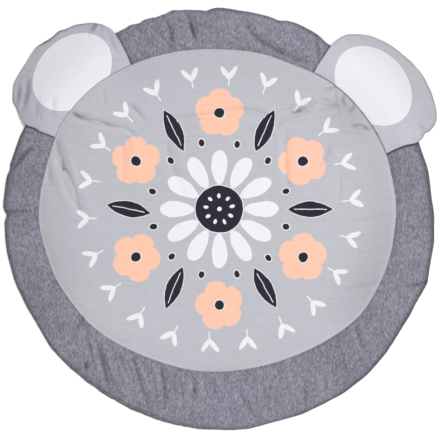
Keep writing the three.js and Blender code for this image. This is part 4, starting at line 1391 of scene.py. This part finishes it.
# Noise in the cloths: size along X and along Y in millimetres, detail, and an offset
BORDER_STREAKS = (2.2, 8.0, 3.0)
BORDER_FIBRES = (1.4, 3.6, 2.0, 31.0)
BORDER_BLOTCHES = (5.0, 9.0, 3.0, 120.0)
BORDER_DRIFT = (55.0, 80.0, 2.0, 77.0)
BORDER_GLINTS = (3.0, 7.0, 2.0, 250.0)
BORDER_CRINKLES = (5.0, 8.0, 2.0, 200.0)
PALE_DRIFT = (230.0, 180.0, 1.0, 12.0)
PALE_STREAKS = (26.0, 1.7, 3.0, 5.0)
PALE_FIBRES = (4.2, 1.2, 2.0, 55.0)
PALE_MOTTLE = (13.0, 8.0, 2.0, 310.0)
PRINT_BEND_NOISES = [(24.0, 24.0, 2.0, 91.0), (24.0, 24.0, 2.0, 143.0)]


def border_material():
    """Dark melange jersey: light and dark fibres in short streaks along the grain, a little crumpled."""
    graph = Graph("melange_jersey", *MELANGE)
    graph.crumple(*BORDER_CRUMPLE)
    streaks = graph.noise(*BORDER_STREAKS)
    fibres = graph.noise(*BORDER_FIBRES)
    blotches = graph.noise(*BORDER_BLOTCHES)
    drift = graph.sub(graph.noise(*BORDER_DRIFT), 0.5)
    mixed = graph.weighted((streaks, 0.5), (fibres, 0.3), (blotches, 0.2), (drift, 0.12))
    dark = graph.smooth(mixed, 0.54, 0.34)
    light = graph.smooth(mixed, 0.48, 0.66)
    colour = graph.mix(dark, linear(*BORDER_MIDDLE), linear(*BORDER_DARK))
    colour = graph.mix(light, colour, linear(*BORDER_LIGHT))
    # Painted glints: small lighter spots where the crinkles catch the light
    glints = graph.smooth(graph.noise(*BORDER_GLINTS), 0.6, 0.75)
    colour = graph.mix(graph.mul(glints, 0.5), colour, linear(*BORDER_GLINT))
    crinkles = graph.noise(*BORDER_CRINKLES)
    height = graph.weighted((graph.knit(*BORDER_KNIT), 1.0), (fibres, 0.8), (crinkles, 4.0))
    return graph.finish(colour, height, BORDER_BUMP)


def pale_jersey(graph, cool, warm, streak):
    """Pale jersey: a soft drift between two tones, and fine streaks across the cloth."""
    drift = graph.smooth(graph.noise(*PALE_DRIFT), 0.3, 0.7)
    colour = graph.mix(drift, linear(*cool), linear(*warm))
    fibres = graph.noise(*PALE_FIBRES)
    mottle = graph.smooth(graph.noise(*PALE_MOTTLE), 0.35, 0.7)
    mixed = graph.weighted((graph.noise(*PALE_STREAKS), 0.6), (fibres, 0.4))
    colour = graph.mix(graph.smooth(mixed, 0.55, 0.3), colour, linear(*streak))
    return graph.mix(graph.mul(mottle, 0.3), colour, linear(*streak)), fibres


def nearest_spot(graph, place, count, start, out):
    """The nearest of some spots on a circle: its number, and how far out and across from it a place lies."""
    radius, turn = place
    step = 2 * math.pi / count
    steps = graph.div(graph.sub(turn, start), step)
    index = graph.math("FLOOR", graph.add(steps, 0.5))
    local = graph.mul(graph.sub(steps, index), step)
    along = graph.sub(graph.mul(radius, graph.math("COSINE", local)), out)
    across = graph.mul(radius, graph.math("SINE", local))
    return graph.math("FLOORED_MODULO", index, float(count)), along, across


def turned(graph, along, across, angle):
    """A place's two distances, turned about the spot that they are measured from."""
    c = graph.math("COSINE", angle)
    s = graph.math("SINE", angle)
    first = graph.add(graph.mul(along, c), graph.mul(across, s))
    second = graph.sub(graph.mul(across, c), graph.mul(along, s))
    return first, second


def oval(graph, along, across, half_length, half_width):
    """About how far a place lies outside an oval."""
    share = graph.length(graph.div(along, half_length), graph.div(across, half_width))
    return graph.mul(graph.sub(share, 1.0), min(half_length, half_width))


def leaf(graph, along, across, half_length, half_width):
    """About how far a place lies outside a pointed leaf."""
    part = graph.div(along, half_length)
    width = graph.mul(graph.sub(1.0, graph.mul(part, part)), half_width)
    return graph.sub(graph.math("ABSOLUTE", across), width)


def stroke(graph, along, across, half_length, half_width):
    """About how far a place lies outside a straight stroke."""
    beside = graph.sub(graph.math("ABSOLUTE", across), half_width)
    return graph.math("MAXIMUM", beside, graph.sub(graph.math("ABSOLUTE", along), half_length))


def ink(graph, colour, distance, tone, edge=0.0):
    return graph.mix(graph.inside(distance, edge), colour, linear(*tone))


def rimmed_ink(graph, colour, distance, rim):
    """A charcoal shape with a white rim of that width."""
    colour = ink(graph, colour, distance, WHITE_INK, rim)
    return ink(graph, colour, distance, CHARCOAL_INK)


def print_sprigs(graph, place, colour):
    """White sprigs round the outside, each a stem with a leaf on either side."""
    index, along, across = nearest_spot(graph, place, SPRIGS, 0.07, SPRIG_RING)
    along, across = turned(graph, along, across, graph.sway(index, 3.0, 0.35))
    side = graph.math("ABSOLUTE", across)
    leaf_out, leaf_side = SPRIG_LEAF_PLACE
    leaf_along = graph.sub(along, leaf_out)
    leaf_place = turned(graph, leaf_along, graph.sub(side, leaf_side), SPRIG_LEAF_TURN)
    colour = ink(graph, colour, oval(graph, *leaf_place, *SPRIG_LEAF), WHITE_INK)
    stem = stroke(graph, graph.add(along, SPRIG_STEM_DROP), side, *SPRIG_STEM)
    return ink(graph, colour, stem, WHITE_INK)


def print_leaves(graph, place, colour):
    """Charcoal leaves with a white rim and a white vein."""
    index, along, across = nearest_spot(graph, place, BLOSSOMS, 0.0, LEAF_RING)
    along, across = turned(graph, along, across, graph.sway(index, 9.0, 0.5))
    colour = rimmed_ink(graph, colour, leaf(graph, along, across, *LEAF), 1.6)
    return ink(graph, colour, stroke(graph, along, across, *LEAF_VEIN), WHITE_INK)


def print_blossoms(graph, place, colour):
    """Peach blossoms of five petals between the leaves, each turned by chance, with charcoal hearts."""
    index, along, across = nearest_spot(graph, place, BLOSSOMS, math.pi / BLOSSOMS, BLOSSOM_RING)
    lean = graph.mul(graph.chance(index, 17.0), BLOSSOM_TURN)
    around = graph.add(graph.math("ARCTAN2", across, along), lean)
    petals = graph.math("ABSOLUTE", graph.math("COSINE", graph.mul(around, BLOSSOM_PETALS / 2)))
    notched = graph.mul(graph.math("SQRT", petals), BLOSSOM_NOTCH)
    edge = graph.mul(graph.add(1 - BLOSSOM_NOTCH, notched), BLOSSOM_RADIUS)
    from_middle = graph.length(along, across)
    colour = ink(graph, colour, graph.sub(from_middle, edge), PEACH_INK)
    return rimmed_ink(graph, colour, graph.sub(from_middle, BLOSSOM_HEART), 1.8)


def print_dots(graph, place, colour):
    """A ring of charcoal dots with white rims, some a little further out than others."""
    index, along, across = nearest_spot(graph, place, DOTS, math.pi / DOTS, DOT_RING)
    along = graph.add(along, graph.sway(index, 23.0, 8.0))
    return rimmed_ink(graph, colour, oval(graph, along, across, *DOT), 1.8)


def print_daisy(graph, place, colour):
    """The daisy in the middle: white petals, and a charcoal heart with white specks."""
    _, along, across = nearest_spot(graph, place, PETALS, 0.0, PETAL_RING)
    taper = graph.add(1.0, graph.mul(along, PETAL_TAPER))
    colour = ink(graph, colour, oval(graph, along, graph.div(across, taper), *PETAL), WHITE_INK)
    radius = place[0]
    colour = rimmed_ink(graph, colour, graph.sub(radius, DAISY_HEART), 2.0)
    _, along, across = nearest_spot(graph, place, SPECKS, 0.2, SPECK_RING)
    colour = ink(graph, colour, oval(graph, along, across, *SPECK), WHITE_INK)
    return ink(graph, colour, graph.sub(radius, DAISY_CORE), WHITE_INK)


def print_wreath(graph, colour):
    """A plain flower wreath. The print bends a little with the cloth."""
    bends = [graph.sub(graph.noise(*row), 0.5) for row in PRINT_BEND_NOISES]
    x = graph.add(graph.x, graph.mul(bends[0], PRINT_BEND))
    y = graph.add(graph.y, graph.mul(bends[1], PRINT_BEND))
    place = (graph.length(x, y), graph.math("ARCTAN2", y, x))
    for print_motif in (print_sprigs, print_leaves, print_blossoms, print_dots, print_daisy):
        colour = print_motif(graph, place, colour)
    return colour


def finish_pale(graph, colour, fibres):
    """Wires a pale jersey's colour and its knit to the shader."""
    height = graph.weighted((graph.knit(*PALE_KNIT), 1.0), (fibres, 0.5))
    return graph.finish(colour, height, PALE_BUMP)


def panel_material():
    graph = Graph("printed_jersey", *JERSEY)
    colour, fibres = pale_jersey(graph, PANEL_COOL, PANEL_LILAC, PANEL_STREAK)
    return finish_pale(graph, print_wreath(graph, colour), fibres)


def ear_material(ear):
    graph = Graph(ear["name"] + "_jersey", *JERSEY)
    grey = EAR_GREYS_WITH_PAINTED_SHADE[ear["name"]]
    colour, fibres = pale_jersey(graph, grey, grey, [c - EAR_STREAK_DROP for c in grey])
    deep = graph.node("ShaderNodeAttribute", attribute_name="white_lobe").outputs["Fac"]
    colour = graph.mix(graph.smooth(deep, -0.5, 0.5), colour, linear(*EAR_WHITE))
    return finish_pale(graph, colour, fibres)


def thread_material():
    graph = Graph("matching_thread", 0.6, 0.05)
    # The thread is painted darker between its twists, as painted shade; the twists are also a bump
    twist = graph.math("SINE", graph.mul(graph.add(graph.x, graph.y), 9.0))
    painted_light_and_shade = graph.smooth(twist, -1.0, 1.0)
    colour = graph.mix(painted_light_and_shade, linear(*[c - THREAD_PAINTED_SHADE_DROP for c in THREAD]), linear(*THREAD))
    return graph.finish(colour, twist, THREAD_BUMP)


def floor_piece():
    """A wide, dull floor just below the mat, which is part of the stage and not of the mat."""
    mesh = bpy.data.meshes.new("floor")
    corners = [(-1, -1), (1, -1), (1, 1), (-1, 1)]
    points = [(x * FLOOR_HALF, y * FLOOR_HALF, -FLOOR_DROP) for x, y in corners]
    mesh.from_pydata(points, [], [(0, 1, 2, 3)])
    made = bpy.data.objects.new("floor", mesh)
    bpy.context.scene.collection.objects.link(made)
    material = bpy.data.materials.new("floor")
    material.use_nodes = True
    shader = material.node_tree.nodes["Principled BSDF"]
    shader.inputs["Base Color"].default_value = (FLOOR_GREY, FLOOR_GREY, FLOOR_GREY, 1)
    shader.inputs["Roughness"].default_value = 1.0
    shader.inputs["Specular IOR Level"].default_value = 0.0
    mesh.materials.append(material)


def add_sun(name, strength, spread, height, side):
    """A far light: its strength, its width, how high it stands and the side that it comes from."""
    lamp = bpy.data.lights.new(name, "SUN")
    lamp.energy = strength
    lamp.angle = math.radians(spread)
    made = bpy.data.objects.new(name, lamp)
    made.rotation_euler = (math.radians(90 - height), 0, math.radians(side + 90))
    bpy.context.scene.collection.objects.link(made)


def add_lamp(name):
    """A soft lamp above the right side, so that the left side gets a little less light."""
    lamp = bpy.data.lights.new(name, "AREA")
    lamp.energy = LAMP_POWER
    lamp.size = LAMP_SIZE
    made = bpy.data.objects.new(name, lamp)
    made.location = LAMP_PLACE
    made.rotation_euler = (0, math.atan2(LAMP_PLACE[0], LAMP_PLACE[2]), 0)
    bpy.context.scene.collection.objects.link(made)


def light_the_scene():
    """A soft light from the top right, a lamp above the right side, and an even pale surrounding."""
    add_sun("softbox", *SOFTBOX)
    add_lamp("side_lamp")
    world = bpy.data.worlds.new("surrounding")
    world.use_nodes = True
    background = world.node_tree.nodes["Background"]
    background.inputs["Color"].default_value = (1, 1, 1, 1)
    background.inputs["Strength"].default_value = WORLD_STRENGTH
    bpy.context.scene.world = world


def place_camera():
    camera = bpy.data.cameras.new("camera")
    camera.lens = LENS
    camera.sensor_width = SENSOR
    camera.clip_end = 100
    made = bpy.data.objects.new("camera", camera)
    distance = IMAGE_WIDTH * PIXEL / SENSOR * LENS
    made.location = ((DISC_X + VIEW_X) * MM, (DISC_Y + VIEW_Y) * MM, (FOCUS_HEIGHT + distance) * MM)
    bpy.context.scene.collection.objects.link(made)
    bpy.context.scene.camera = made


border = pad_piece()
panel = panel_piece()
stitches = stitches_piece()
border.data.materials.append(border_material())
panel.data.materials.append(panel_material())
stitches.data.materials.append(thread_material())
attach(border, "root")
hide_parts("pad")
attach(panel, "root")
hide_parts("centre_panel")
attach(stitches, "root")
for ear in EARS:
    made = ear_piece(ear)
    made.data.materials.append(ear_material(ear))
    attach(made, "root")
    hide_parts(ear["name"])

floor_piece()
light_the_scene()
place_camera()
bpy.context.scene.view_settings.view_transform = "Standard"
